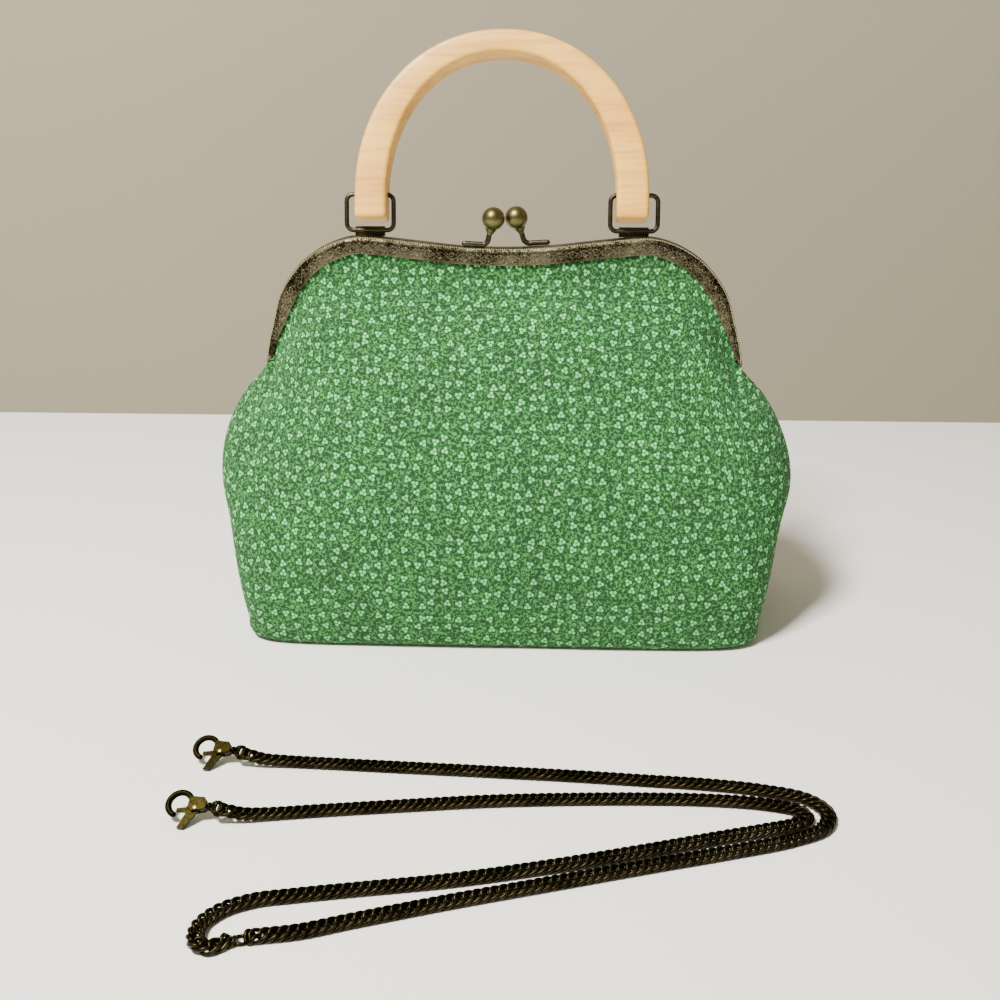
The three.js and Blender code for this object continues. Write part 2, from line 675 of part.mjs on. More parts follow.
for (const [name, points] of Object.entries(chainRoutes)) {
  const route = new THREE.CatmullRomCurve3(points.map((p) => new THREE.Vector3(...p)), false, 'centripetal');
  // Steps are shared out by the chosen points, which lie closer together in the bends
  route.getUtoTmapping = (share) => share;
  const [t, w] = [chainThickness / 2, chainWidth / 2];
  const section = new THREE.Shape([
    new THREE.Vector2(-w * 0.6, -t), new THREE.Vector2(w * 0.6, -t), new THREE.Vector2(w, -t * 0.6),
    new THREE.Vector2(w, t * 0.6), new THREE.Vector2(w * 0.6, t), new THREE.Vector2(-w * 0.6, t),
    new THREE.Vector2(-w, t * 0.6), new THREE.Vector2(-w, -t * 0.6),
  ]);
  const geometry = new THREE.ExtrudeGeometry(section, { extrudePath: route, steps: Math.round(chainSteps[name]) });
  addPiece(bag, name, geometry, materials.chain);
}

// The oval jump ring between the two lengths, lying on the table
function makeJumpRing() {
  const oval = new THREE.EllipseCurve(0, 0, jumpRingLength / 2 - jumpRingWire,
    jumpRingWidth / 2 - jumpRingWire, 0, 2 * Math.PI);
  const rings = [];
  const around = 14;
  for (let i = 0; i < around; i += 1) {
    const at = oval.getPoint(i / around);
    const out = at.clone().normalize();
    const ring = [];
    for (let k = 0; k < 6; k += 1) {
      const turn = (Math.PI * k) / 3;
      ring.push(new THREE.Vector3(at.x + out.x * jumpRingWire * Math.cos(turn),
        at.y + out.y * jumpRingWire * Math.cos(turn), jumpRingWire * Math.sin(turn)));
    }
    rings.push(ring);
  }
  return closedLoop(rings);
}

// Closed band through rings that come back to the first
function closedLoop(rings) {
  const count = rings[0].length;
  const faces = [];
  for (let r = 0; r < rings.length; r += 1) {
    for (let i = 0; i < count; i += 1) {
      const a = r * count + i;
      const b = r * count + (i + 1) % count;
      const [c, d] = [((r + 1) % rings.length) * count + (i + 1) % count,
        ((r + 1) % rings.length) * count + i];
      faces.push(a, b, c, a, c, d);
    }
  }
  return facingOut(rings.flat(), faces);
}

const jumpRing = addPiece(bag, 'jump_ring', makeJumpRing(), materials.chain);
jumpRing.position.set(-84.6, -311, jumpRingWire + 0.2);
jumpRing.rotation.z = THREE.MathUtils.degToRad(12);

// Trigger hook, in its own frame: the swivel's axis is X and points away from the ring;
// the hook's plane is XY with the tail on the -Y side
function makeHookBody() {
  const ringX = -hookBlockLength - hookRingRadius + 1.2;
  const hookStart = THREE.MathUtils.degToRad(28);
  const hookEnd = THREE.MathUtils.degToRad(258);
  const sweep = [];
  const bends = 12;
  for (let i = 0; i <= bends; i += 1) {
    const turn = THREE.MathUtils.lerp(hookStart, hookEnd, i / bends);
    sweep.push(new THREE.Vector3(ringX + hookRingRadius * Math.cos(turn), hookRingRadius * Math.sin(turn), 0));
  }
  sweep.unshift(new THREE.Vector3(-hookBlockLength + 2.6, hookRingRadius * 0.36, 0));
  const hook = tube(new THREE.CatmullRomCurve3(sweep), hookWireRadius, 16, 8);
  const half = hookBlockWidth / 2;
  const outline = new THREE.Shape([
    new THREE.Vector2(-hookBlockLength, half * 0.86), new THREE.Vector2(-hookBlockLength, -half * 0.5),
    new THREE.Vector2(-hookBlockLength + 2, -half), new THREE.Vector2(-1, -half * 0.62),
    new THREE.Vector2(0, -half * 0.4), new THREE.Vector2(0, half * 0.4), new THREE.Vector2(-1.6, half),
    new THREE.Vector2(-hookBlockLength + 1, half),
  ]);
  const block = new THREE.ExtrudeGeometry(outline, { depth: hookBlockThick, bevelEnabled: false });
  block.translate(0, 0, -hookBlockThick / 2);
  const slotTop = 0.2;
  const slotHeight = half + 1.4;
  const slot = new THREE.BoxGeometry(hookBlockLength, slotHeight, hookBlockThick - 2 * hookPlateThick);
  slot.translate(-hookBlockLength / 2 - 2.6, slotTop - slotHeight / 2, 0);
  const stemBore = new THREE.CylinderGeometry(swivelStemRadius + pinGap, swivelStemRadius + pinGap, 4.4, 10);
  stemBore.rotateZ(Math.PI / 2);
  stemBore.translate(0, 0, 0);
  const pinBore = new THREE.CylinderGeometry(hookPinRadius + pinGap, hookPinRadius + pinGap, 8, 10);
  pinBore.rotateX(Math.PI / 2);
  pinBore.translate(gateX, gateY, 0);
  return cut(unite([block, hook]), [slot, stemBore, pinBore]);
}

const gateX = -hookBlockLength + 3.4;
const gateY = -1.6;

// The gate turns on the rivet: its nose closes the hook from inside, its tail is the thumb lever
function makeGate() {
  const noseX = -8.2;
  const outline = new THREE.Shape([
    new THREE.Vector2(1.4, -0.9), new THREE.Vector2(1.5, 0.3), new THREE.Vector2(0.8, 0.9),
    new THREE.Vector2(-2.6, 0.4), new THREE.Vector2(noseX, -0.6), new THREE.Vector2(noseX, -1.9),
    new THREE.Vector2(-3.6, -2.0),
    new THREE.Vector2(-0.52 * hookTail - 1.2, -hookTail), new THREE.Vector2(-0.52 * hookTail + 1, -hookTail),
  ]);
  const thick = hookBlockThick - 2 * hookPlateThick - 2 * seatGap;
  const gate = new THREE.ExtrudeGeometry(outline, { depth: thick, bevelEnabled: false });
  gate.translate(0, 0, -thick / 2);
  const bore = new THREE.CylinderGeometry(hookPinRadius + pinGap, hookPinRadius + pinGap, 8, 10);
  bore.rotateX(Math.PI / 2);
  return cut(gate, [bore]);
}

function makeHookPin() {
  const pin = new THREE.CylinderGeometry(hookPinRadius, hookPinRadius, hookBlockThick + 0.6, 10);
  pin.rotateX(Math.PI / 2);
  return pin;
}

function makeSwivel() {
  const collarStart = seatGap;
  const eyeX = collarStart + 1.4 + swivelEyeRadius;
  const stem = new THREE.LatheGeometry([
    new THREE.Vector2(0, -1.9), new THREE.Vector2(swivelStemRadius, -1.9),
    new THREE.Vector2(swivelStemRadius, collarStart), new THREE.Vector2(1.9, collarStart),
    new THREE.Vector2(1.9, collarStart + 1.1), new THREE.Vector2(1.1, eyeX - swivelEyeRadius + 0.3),
    new THREE.Vector2(0, eyeX - swivelEyeRadius + 0.3),
  ], 10);
  stem.rotateZ(-Math.PI / 2);
  const eye = new THREE.TorusGeometry(swivelEyeRadius, swivelEyeWire, 6, 10);
  eye.translate(eyeX, 0, 0);
  return unite([stem, eye]);
}

const hookPlaces = {
  hook_a: { x: -118.4, y: -189.5, heading: THREE.MathUtils.degToRad(-8) },
  hook_b: { x: -117.3, y: -234.9, heading: THREE.MathUtils.degToRad(-6) },
};
const hookAxisHeight = 6.75;

for (const [name, place] of Object.entries(hookPlaces)) {
  const hook = new THREE.Group();
  hook.position.set(place.x, place.y, hookAxisHeight);
  hook.rotation.set(0, 0, place.heading);
  const tilted = new THREE.Group();
  tilted.rotation.x = hookTilt;
  hook.add(tilted);
  bag.add(hook);
  addPiece(tilted, `${name}_body`, makeHookBody(), materials.brass);
  const gate = addPiece(tilted, `${name}_gate`, makeGate(), materials.brass);
  gate.position.set(gateX, gateY, 0);
  const pin = addPiece(tilted, `${name}_rivet`, makeHookPin(), materials.brass);
  pin.position.set(gateX, gateY, 0);
  addPiece(tilted, `${name}_swivel`, makeSwivel(), materials.brass);
}

bag.updateMatrixWorld(true);

export default bag;
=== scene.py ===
import math

import bpy
import numpy as np
from mathutils import Matrix, Vector, noise


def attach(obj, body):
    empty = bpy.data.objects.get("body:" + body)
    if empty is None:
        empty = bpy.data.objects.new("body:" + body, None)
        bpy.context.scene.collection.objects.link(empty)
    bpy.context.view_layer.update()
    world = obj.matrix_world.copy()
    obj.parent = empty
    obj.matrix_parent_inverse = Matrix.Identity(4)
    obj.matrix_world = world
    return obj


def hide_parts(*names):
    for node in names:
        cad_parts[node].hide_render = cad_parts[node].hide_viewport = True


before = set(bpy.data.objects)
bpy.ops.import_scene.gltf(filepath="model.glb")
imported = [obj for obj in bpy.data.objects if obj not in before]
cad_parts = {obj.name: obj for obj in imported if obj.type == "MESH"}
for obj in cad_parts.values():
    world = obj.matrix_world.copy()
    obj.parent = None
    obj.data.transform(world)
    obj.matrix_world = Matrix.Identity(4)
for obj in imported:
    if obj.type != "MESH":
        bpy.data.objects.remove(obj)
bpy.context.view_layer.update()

# Frame handbag with an arched wooden handle, and its chain strap lying in front of it.
# Lengths in the settings are millimetres, in the frame of the CAD model: +Z up, -Y the front.
mm = 0.001


def unit(rows):
    rows = np.asarray(rows, float)
    return rows / np.maximum(np.linalg.norm(rows, axis=-1, keepdims=True), 1e-12)


def turnAbout(axis, degrees):
    return np.array(Matrix.Rotation(math.radians(degrees), 3, axis))


# curves and skins

def runOf(path):
    # length along a path up to each of its points
    return np.concatenate([[0], np.cumsum(np.linalg.norm(np.diff(path, axis=0), axis=1))])


def pointsAt(places, run, path):
    # points of a path at places along its run
    return np.column_stack([np.interp(places, run, path[:, k]) for k in range(3)])


def hermite(t, start, leave, end, reach):
    return ((2 * t ** 3 - 3 * t ** 2 + 1) * start + (t ** 3 - 2 * t ** 2 + t) * leave
            + (3 * t ** 2 - 2 * t ** 3) * end + (t ** 3 - t ** 2) * reach)


def smoothPath(points, spacing):
    # centripetal Catmull-Rom through the points, then evenly spaced places along it
    p = np.asarray(points, float)
    p = np.vstack([2 * p[0] - p[1], p, 2 * p[-1] - p[-2]])
    fine = []
    t = np.linspace(0, 1, 24, endpoint=False)[:, None]
    for a, b, c, d in zip(p[:-3], p[1:-2], p[2:-1], p[3:]):
        ab, bc, cd = (max(np.linalg.norm(q - r), 1e-9) ** 0.5 for q, r in ((b, a), (c, b), (d, c)))
        leave = ((b - a) / ab - (c - a) / (ab + bc) + (c - b) / bc) * bc
        reach = ((c - b) / bc - (d - b) / (bc + cd) + (d - c) / cd) * bc
        fine.append(hermite(t, b, leave, c, reach))
    fine = np.vstack(fine + [p[-2][None]])
    run = runOf(fine)
    count = max(2, int(round(run[-1] / spacing)))
    return pointsAt(np.linspace(0, run[-1], count + 1), run, fine)


def softly(at, places, values):
    # smooth curve through a table's rows
    places, values = np.asarray(places, float), np.asarray(values, float)
    slopes = np.gradient(values, places)
    at = np.clip(at, places[0], places[-1])
    i = np.clip(np.searchsorted(places, at, side="right") - 1, 0, len(places) - 2)
    step = places[i + 1] - places[i]
    t = (at - places[i]) / step
    return hermite(t, values[i], step * slopes[i], values[i + 1], step * slopes[i + 1])


def smoothstep(t, low, high):
    t = np.clip((np.asarray(t, float) - low) / (high - low), 0, 1)
    return t * t * (3 - 2 * t)


def fullTurn(count):
    return np.linspace(0, 2 * math.pi, count, endpoint=False)


def rounder(wave, power):
    # a cosine or sine bent towards a superellipse
    return np.sign(wave) * np.abs(wave) ** power


def skin(rings, closed=False):
    # quads between rings of equal count, with flat ends; closed joins the last ring to the first
    rings = np.asarray(rings, float)
    count, around = rings.shape[:2]
    points = rings.reshape(-1, 3)
    faces = []
    for r in range(count if closed else count - 1):
        a, b = r * around, ((r + 1) % count) * around
        for i in range(around):
            j = (i + 1) % around
            faces.append((a + i, a + j, b + j, b + i))
    if not closed:
        faces.append(tuple(range(around))[::-1])
        faces.append(tuple(range((count - 1) * around, count * around)))
    return points, faces


def carried(path, closed=False, start=None):
    # tangents and two cross directions along a path, turned as little as possible
    path = np.asarray(path, float)
    if closed:
        along = unit(np.roll(path, -1, 0) - np.roll(path, 1, 0))
    else:
        along = unit(np.gradient(path, axis=0))
    side = np.array(start if start is not None else np.eye(3)[np.argmin(np.abs(along[0]))], float)
    sides = []
    for tangent in along:
        side = unit(side - tangent * (side @ tangent))
        sides.append(side)
    sides = np.array(sides)
    return along, sides, np.cross(along, sides)


def sweep(path, radius, sides, closed=False, start=None):
    # a tube along a path, with rounded ends
    path = np.asarray(path, float)
    along, across, up = carried(path, closed, start)
    radius = np.broadcast_to(np.asarray(radius, float), (len(path),))
    turn = fullTurn(sides)[None, :, None]
    section = across[:, None, :] * np.cos(turn) + up[:, None, :] * np.sin(turn)
    rings = path[:, None, :] + section * radius[:, None, None]
    if not closed:
        for end, way in ((0, -1), (-1, 1)):
            for tilt in (30, 60, 84):
                out = math.sin(math.radians(tilt)) * radius[end]
                shrink = math.cos(math.radians(tilt))
                ring = (path[end] + way * along[end] * out + section[end] * radius[end] * shrink)[None]
                rings = np.vstack([rings, ring]) if end else np.vstack([ring, rings])
    return skin(rings, closed)


poleRadius = 0.02  # a turned shape's end, too small to be seen


def lathe(profile, sides):
    # profile of (radius, height) pairs turned about Z
    rings = [[(r * math.cos(t), r * math.sin(t), h) for t in fullTurn(sides)] for r, h in profile]
    return skin(rings)


def ball(radius, sides, levels):
    turns = [math.radians(t) for t in np.linspace(-90, 90, levels + 1)]
    return lathe([(radius * max(math.cos(t), poleRadius), radius * math.sin(t)) for t in turns], sides)


def placed(part, turn=None, at=(0, 0, 0)):
    points, faces = part
    points = np.asarray(points, float)
    if turn is not None:
        points = points @ np.asarray(turn, float).T
    return points + np.asarray(at, float), faces


def joined(parts):
    points, faces, start = [], [], 0
    for p, f in parts:
        points.append(np.asarray(p, float))
        faces += [tuple(i + start for i in face) for face in f]
        start += len(p)
    return np.vstack(points), faces


def facing(axis):
    # rotation whose columns are X, Y and Z, with Z along the axis
    z = unit(axis)
    x = unit(np.cross(np.eye(3)[np.argmin(np.abs(z))], z))
    return np.column_stack([x, np.cross(z, x), z])


def newObject(name, data):
    made = bpy.data.objects.new(name, data)
    bpy.context.scene.collection.objects.link(made)
    return made


def addPiece(name, part, material, body, replaces, crease=42, values=None):
    points, faces = part
    mesh = bpy.data.meshes.new(name)
    mesh.from_pydata((np.asarray(points) * mm).tolist(), [], faces)
    mesh.validate()
    mesh.update()
    mesh.shade_smooth()
    if crease:
        mesh.set_sharp_from_angle(angle=math.radians(crease))
    mesh.materials.append(material)
    for key, numbers in (values or {}).items():
        attribute = mesh.attributes.new(key, "FLOAT", "POINT")
        attribute.data.foreach_set("value", np.asarray(numbers, np.float32))
    piece = newObject(name, mesh)
    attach(piece, body)
    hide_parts(*replaces)
    return piece


def slab(outline, low, high):
    # a flat outline in X and Y, from low to high along Z
    outline = np.asarray(outline, float)
    return skin([np.column_stack([outline, np.full(len(outline), z)]) for z in (low, high)])


def plate(outline, thick, bevel):
    # a flat outline in X and Y, thick along Z, with its edges trimmed
    outline = np.asarray(outline, float)
    middle = outline.mean(axis=0)
    reach = np.linalg.norm(outline - middle, axis=1, keepdims=True)
    inset = outline - (outline - middle) / reach * bevel
    half = thick / 2
    rings = [np.column_stack([ring, np.full(len(ring), z)]) for ring, z in
             ((inset, -half), (outline, -half + bevel), (outline, half - bevel), (inset, half))]
    return skin(rings)


# shader helpers

def feed(tree, made, inputs):
    # each input is a socket to link or a value
    for key, value in inputs.items():
        if isinstance(value, bpy.types.NodeSocket):
            tree.links.new(value, made.inputs[key])
        else:
            made.inputs[key].default_value = value
    return made


def add(tree, kind, inputs=None, **settings):
    made = tree.nodes.new("ShaderNode" + kind)
    for key, value in settings.items():
        setattr(made, key, value)
    return feed(tree, made, inputs or {})


def calc(tree, operation, a, b=0.0, c=0.0, clamp=False):
    return add(tree, "Math", {0: a, 1: b, 2: c}, operation=operation, use_clamp=clamp).outputs[0]


def between(tree, value, low, high):
    # 0 below low, 1 above high; low may be the greater
    return add(tree, "MapRange", {"Value": value, "From Min": low, "From Max": high},
               interpolation_type="SMOOTHSTEP").outputs[0]


def mixed(tree, factor, a, b, mode="MIX"):
    return add(tree, "Mix", {0: factor, 6: a, 7: b}, data_type="RGBA", blend_type=mode).outputs[2]


def shaderGroup(name, inputs, outputs):
    tree = bpy.data.node_groups.new(name, "ShaderNodeTree")
    for label, kind, value in inputs:
        socket = tree.interface.new_socket(label, in_out="INPUT", socket_type="NodeSocket" + kind)
        if value is not None:
            socket.default_value = value
    for label, kind in outputs:
        tree.interface.new_socket(label, in_out="OUTPUT", socket_type="NodeSocket" + kind)
    return tree, tree.nodes.new("NodeGroupInput").outputs, tree.nodes.new("NodeGroupOutput").inputs


def newMaterial(name, **values):
    material = bpy.data.materials.new(name)
    material.use_nodes = True
    tree = material.node_tree
    surface = tree.nodes["Principled BSDF"]
    for key, value in values.items():
        surface.inputs[key.replace("_", " ")].default_value = value
    return material, tree, surface


def colour(red, green, blue):
    # a colour given in 0 to 255 as it is seen
    return tuple(((c / 255 + 0.055) / 1.055) ** 2.4 if c > 10 else c / 255 / 12.92
                 for c in (red, green, blue)) + (1.0,)


# materials

# cloud is the scale of the print's broad patches, which are partly darker dye and partly painted sheen
printLook = {"bloomSpacing": 7.6, "scatter": 0.62, "bloomReach": 1.1, "bloomLobe": 0.84, "lobeIn": 0.2,
             "lobeOut": 0.28, "hole": 0.55, "holeEdge": 0.2, "halo": 2.6, "haloIn": 0.7, "haloOut": 0.6,
             "vineScale": 0.64, "vineWarp": 0.7, "vineLow": 0.48, "vineHigh": 0.6, "cloud": 0.03,
             "weave": 0.6}
patinaLook = {"grain": 900.0, "cloud": 60.0, "grainShare": 0.5, "cloudShare": 0.4, "edgeLow": 0.5,
              "edgeHigh": 0.56, "rough": 0.42, "polish": 0.16}
woodLook = {"bendScale": 14.0, "bend": (0.0, 0.004, 0.006), "streaks": (26.0, 260.0, 420.0),
            "bands": (6.0, 40.0, 90.0), "streakShare": 0.55, "bandShare": 0.45, "rough": 0.42, "dull": 0.12}


def printGroup():
    # three-lobed blooms, each in a plain halo, on a ground of short strokes, under broad patches that are
    # partly darker dye and partly painted sheen
    look = printLook
    tree, given, result = shaderGroup(
        "ditsyPrint",
        [("Vector", "Vector", None), ("Ground", "Color", colour(9, 54, 13)),
         ("Vine", "Color", colour(58, 126, 60)), ("Bloom", "Color", colour(102, 194, 114))],
        [("Color", "Color"), ("Height", "Float")])
    at = given["Vector"]
    cells = add(tree, "TexVoronoi", {"Vector": at, "Scale": 1 / look["bloomSpacing"],
                                     "Randomness": look["scatter"]}, voronoi_dimensions="2D")
    local = add(tree, "VectorMath", {0: at, 1: cells.outputs["Position"]}, operation="SUBTRACT").outputs[0]
    xyz = add(tree, "SeparateXYZ", {0: local}).outputs
    chance = add(tree, "SeparateColor", {0: cells.outputs["Color"]}).outputs
    reach = add(tree, "VectorMath", {0: local}, operation="LENGTH").outputs["Value"]
    angle = calc(tree, "ARCTAN2", xyz[1], xyz[0])
    turned = calc(tree, "MULTIPLY_ADD", chance[0], 2 * math.pi, angle)
    third = 2 * math.pi / 3
    sector = calc(tree, "SUBTRACT", calc(tree, "FLOORED_MODULO", turned, third), third / 2)
    along = calc(tree, "SUBTRACT", calc(tree, "MULTIPLY", reach, calc(tree, "COSINE", sector)),
                 look["bloomReach"])
    across = calc(tree, "MULTIPLY", reach, calc(tree, "SINE", sector))
    squares = calc(tree, "MULTIPLY_ADD", along, along, calc(tree, "MULTIPLY", across, across))
    toLobe = calc(tree, "SQRT", squares)
    lobe = between(tree, toLobe, look["bloomLobe"] + look["lobeOut"], look["bloomLobe"] - look["lobeIn"])
    heart = between(tree, reach, look["hole"] + look["holeEdge"], look["hole"] - look["holeEdge"])
    ground = between(tree, reach, look["halo"] - look["haloIn"], look["halo"] + look["haloOut"])
    warp = add(tree, "TexNoise", {"Vector": at, "Scale": look["vineScale"], "Detail": 1.0, "Roughness": 0.5,
                                  "Distortion": look["vineWarp"]}, noise_dimensions="2D").outputs[0]
    vine = between(tree, warp, look["vineLow"], look["vineHigh"])
    vine = calc(tree, "MULTIPLY", vine, calc(tree, "MULTIPLY_ADD", ground, 0.8, 0.2))
    # broad patches: the colour is multiplied by 0.75 to 1.25 of a slow noise, partly darker dye and partly
    # painted sheen
    cloud = add(tree, "TexNoise", {"Vector": at, "Scale": look["cloud"], "Detail": 2.0},
                noise_dimensions="2D").outputs[0]
    base = mixed(tree, vine, given["Ground"], given["Vine"])
    base = mixed(tree, calc(tree, "MULTIPLY", lobe, 0.92), base, given["Bloom"])
    base = mixed(tree, calc(tree, "MULTIPLY", heart, 0.75), base, given["Ground"])
    shade = calc(tree, "MULTIPLY_ADD", cloud, 0.5, 0.75)
    patchesAndSheen = add(tree, "CombineColor", {0: shade, 1: shade, 2: shade}).outputs[0]
    tree.links.new(mixed(tree, 1.0, base, patchesAndSheen, "MULTIPLY"), result["Color"])
    weave = [add(tree, "TexWave", {"Vector": at, "Scale": look["weave"]}, bands_direction=way).outputs["Fac"]
             for way in ("X", "Y")]
    tree.links.new(calc(tree, "MULTIPLY", weave[0], weave[1]), result["Height"])
    return tree


def patinaGroup():
    # aged metal: dark in the hollows, rubbed bright where it stands out
    look = patinaLook
    tree, given, result = shaderGroup(
        "patina",
        [("Dark", "Color", colour(42, 34, 16)), ("Bright", "Color", colour(170, 160, 110)),
         ("Rub", "Float", 0.5), ("Edge", "Float", 0.35)],
        [("Color", "Color"), ("Roughness", "Float"), ("Height", "Float")])
    at = add(tree, "TexCoord").outputs["Object"]
    fine = add(tree, "TexNoise", {"Vector": at, "Scale": look["grain"], "Detail": 3.0}).outputs[0]
    broad = add(tree, "TexNoise", {"Vector": at, "Scale": look["cloud"], "Detail": 2.0}).outputs[0]
    pointed = add(tree, "NewGeometry").outputs["Pointiness"]
    worn = calc(tree, "MULTIPLY_ADD", between(tree, pointed, look["edgeLow"], look["edgeHigh"]),
                given["Edge"], given["Rub"])
    for chance, share, clamp in ((fine, look["grainShare"], False), (broad, look["cloudShare"], True)):
        worn = calc(tree, "ADD", worn, calc(tree, "MULTIPLY_ADD", chance, share, -share / 2), clamp=clamp)
    tree.links.new(mixed(tree, worn, given["Dark"], given["Bright"]), result["Color"])
    tree.links.new(calc(tree, "MULTIPLY_ADD", worn, -look["polish"], look["rough"]), result["Roughness"])
    tree.links.new(fine, result["Height"])
    return tree


def grainGroup():
    # pale wood with its fibres along X
    look = woodLook
    tree, given, result = shaderGroup(
        "fibres", [("Light", "Color", colour(232, 178, 76)), ("Deep", "Color", colour(192, 130, 46))],
        [("Color", "Color"), ("Roughness", "Float"), ("Height", "Float")])
    at = add(tree, "TexCoord").outputs["Object"]
    bend = add(tree, "TexNoise", {"Vector": at, "Scale": look["bendScale"], "Detail": 1.0}).outputs["Color"]
    bent = add(tree, "VectorMath", {0: bend, 1: look["bend"], 2: at}, operation="MULTIPLY_ADD").outputs[0]
    stretch = add(tree, "Mapping", {"Vector": bent, "Scale": look["streaks"]}).outputs[0]
    streaks = add(tree, "TexNoise", {"Vector": stretch, "Scale": 1.0, "Detail": 5.0,
                                     "Roughness": 0.62}).outputs[0]
    wide = add(tree, "Mapping", {"Vector": bent, "Scale": look["bands"]}).outputs[0]
    bands = add(tree, "TexNoise", {"Vector": wide, "Scale": 1.0, "Detail": 2.0}).outputs[0]
    tone = calc(tree, "MULTIPLY_ADD", between(tree, streaks, 0.42, 0.72), look["streakShare"],
                calc(tree, "MULTIPLY", between(tree, bands, 0.35, 0.7), look["bandShare"]))
    tree.links.new(mixed(tree, tone, given["Light"], given["Deep"]), result["Color"])
    tree.links.new(calc(tree, "MULTIPLY_ADD", tone, look["dull"], look["rough"]), result["Roughness"])
    tree.links.new(streaks, result["Height"])
    return tree


ditsyPrint, patina, fibres = printGroup(), patinaGroup(), grainGroup()


def groupNode(tree, group, inputs):
    made = tree.nodes.new("ShaderNodeGroup")
    made.node_tree = group
    return feed(tree, made, inputs).outputs


def bumped(tree, surface, height, strength, depth=0.2 * mm):
    bump = add(tree, "Bump", {"Height": height, "Strength": strength, "Distance": depth})
    feed(tree, surface, {"Normal": bump.outputs[0]})


def clothMaterial():
    material, tree, surface = newMaterial("printedFabric", Roughness=0.95)
    uv = add(tree, "UVMap", uv_map="cloth").outputs[0]
    pattern = groupNode(tree, ditsyPrint, {"Vector": uv})
    feed(tree, surface, {"Base Color": pattern["Color"]})
    bumped(tree, surface, pattern["Height"], 0.25)
    return material


def metalMaterial(name, dark, bright, rub, bump=0.15, raised=None, edge=0.15):
    material, tree, surface = newMaterial(name, Metallic=1.0)
    if raised:
        stands = add(tree, "Attribute", attribute_name="raised").outputs["Fac"]
        rub = calc(tree, "MULTIPLY_ADD", stands, raised, rub)
    look = groupNode(tree, patina, {"Dark": dark, "Bright": bright, "Rub": rub, "Edge": edge})
    feed(tree, surface, {"Base Color": look["Color"], "Roughness": look["Roughness"]})
    bumped(tree, surface, look["Height"], bump)
    return material


def woodMaterial():
    material, tree, surface = newMaterial("paleWood", Coat_Weight=0.15, Coat_Roughness=0.3)
    look = groupNode(tree, fibres, {})
    feed(tree, surface, {"Base Color": look["Color"], "Roughness": look["Roughness"]})
    bumped(tree, surface, look["Height"], 0.12)
    return material


cloth = clothMaterial()
stamped = metalMaterial("stampedBronze", colour(22, 16, 4), colour(226, 216, 176), 0.05, 0.4, raised=0.8,
                        edge=0.04)
bronze = metalMaterial("antiqueBronze", colour(14, 11, 7), colour(132, 126, 104), 0.1)
brass = metalMaterial("agedBrass", colour(50, 44, 20), colour(152, 144, 94), 0.34)
dark = metalMaterial("darkBrass", colour(12, 10, 2), colour(60, 53, 20), 0.04, edge=0.04)
linked = metalMaterial("chainMetal", colour(9, 6, 1), colour(92, 82, 54), -0.04)
wood = woodMaterial()

# frame: outer edge, its half width, height of its ends and rise
edgeSize = {"halfWidth": 134.5, "endHeight": 152.5, "rise": 66.4}
edgeRows = [  # across and up, as shares
    (1.0, 0.0), (0.984, 0.142), (0.963, 0.294), (0.931, 0.508), (0.889, 0.65), (0.826, 0.795),
    (0.752, 0.9), (0.69, 0.957), (0.632, 0.991), (0.58, 1.0), (0.48, 0.986), (0.36, 0.96),
    (0.18, 0.922), (0.0, 0.909)]
edgePoints = [(side * across * edgeSize["halfWidth"], 0, edgeSize["endHeight"] + up * edgeSize["rise"])
              for side, rows in ((-1, edgeRows), (1, edgeRows[-2::-1])) for across, up in rows]
edge = smoothPath(edgePoints, 0.4)
edgeRun = runOf(edge)
edgeAlong = unit(np.gradient(edge, axis=0))

channel = {"face": 9.5, "endFace": 4.2, "halfDepth": 5.65, "sheet": 0.9, "topDepth": 2.4, "round": 3.4,
           "gap": 0.3, "stations": 260}


def edgeAt(share):
    # outer edge, way into the bag and width of the face, at shares of the edge's length
    run = np.atleast_1d(share) * edgeRun[-1]
    point = pointsAt(run, edgeRun, edge)
    along = unit(pointsAt(run, edgeRun, edgeAlong))
    inward = np.column_stack([along[:, 2], 0 * run, -along[:, 0]])
    fromEnd = np.minimum(share, 1 - np.asarray(share)) * 2
    face = channel["endFace"] + (channel["face"] - channel["endFace"]) * smoothstep(fromEnd, 0, 0.22)
    return point, inward, np.atleast_1d(face)


def edgeTop(x):
    return float(np.interp(x, edge[:, 0], edge[:, 2]))


# fabric body
bodySize = {"halfWidth": 161, "halfDepth": 68, "skin": 2, "middlePull": 0.5, "foldPull": 0.93,
            "cornerPull": 0.985, "depthPull": 0.86,
            "channelReach": 0.965, "gussetDip": 9, "gussetDepth": 6.3, "baseRound": 2.6,
            "panelColumns": 120, "gussetColumns": 44, "rows": 110, "innerRows": 36, "wrinkle": 0.8,
            "broad": 0.013, "fine": (0.034, 0.034, 0.0238), "gather": 0.22}
bodyRows = [  # height as a share of the frame's ends, width, depth, squareness, corner
    (0.0, 0.872, 0.945, 9, 0.93), (0.02, 0.888, 0.985, 9, 0.93), (0.08, 0.896, 1.02, 8.4, 0.93),
    (0.165, 0.916, 1.04, 7.4, 0.92), (0.3, 0.945, 1.04, 6, 0.9), (0.435, 0.972, 1.0, 4.8, 0.88),
    (0.58, 1.0, 0.92, 3.9, 0.87), (0.685, 0.994, 0.84, 3.4, 0.87), (0.79, 0.96, 0.74, 3.0, 0.885),
    (0.89, 0.905, 0.64, 2.7, 0.92), (1.0, 0.855, 0.52, 2.5, 0.97), (1.12, 0.83, 0.335, 2.6, 0.97),
    (1.22, 0.83, 0.185, 2.6, 0.97), (1.29, 0.83, 0.1, 2.6, 0.97), (1.34, 0.83, 0.066, 2.6, 0.97)]
bodyDents = [  # side, depth, height, inward, reach
    (1, -0.3, 0.34, 0.016, 0.075), (1, -0.2, 0.52, -0.018, 0.17), (1, -0.45, 0.1, -0.026, 0.34),
    (-1, -0.2, 0.4, 0.008, 0.2)]
fabricFront = channel["halfDepth"] - channel["sheet"] - channel["gap"]


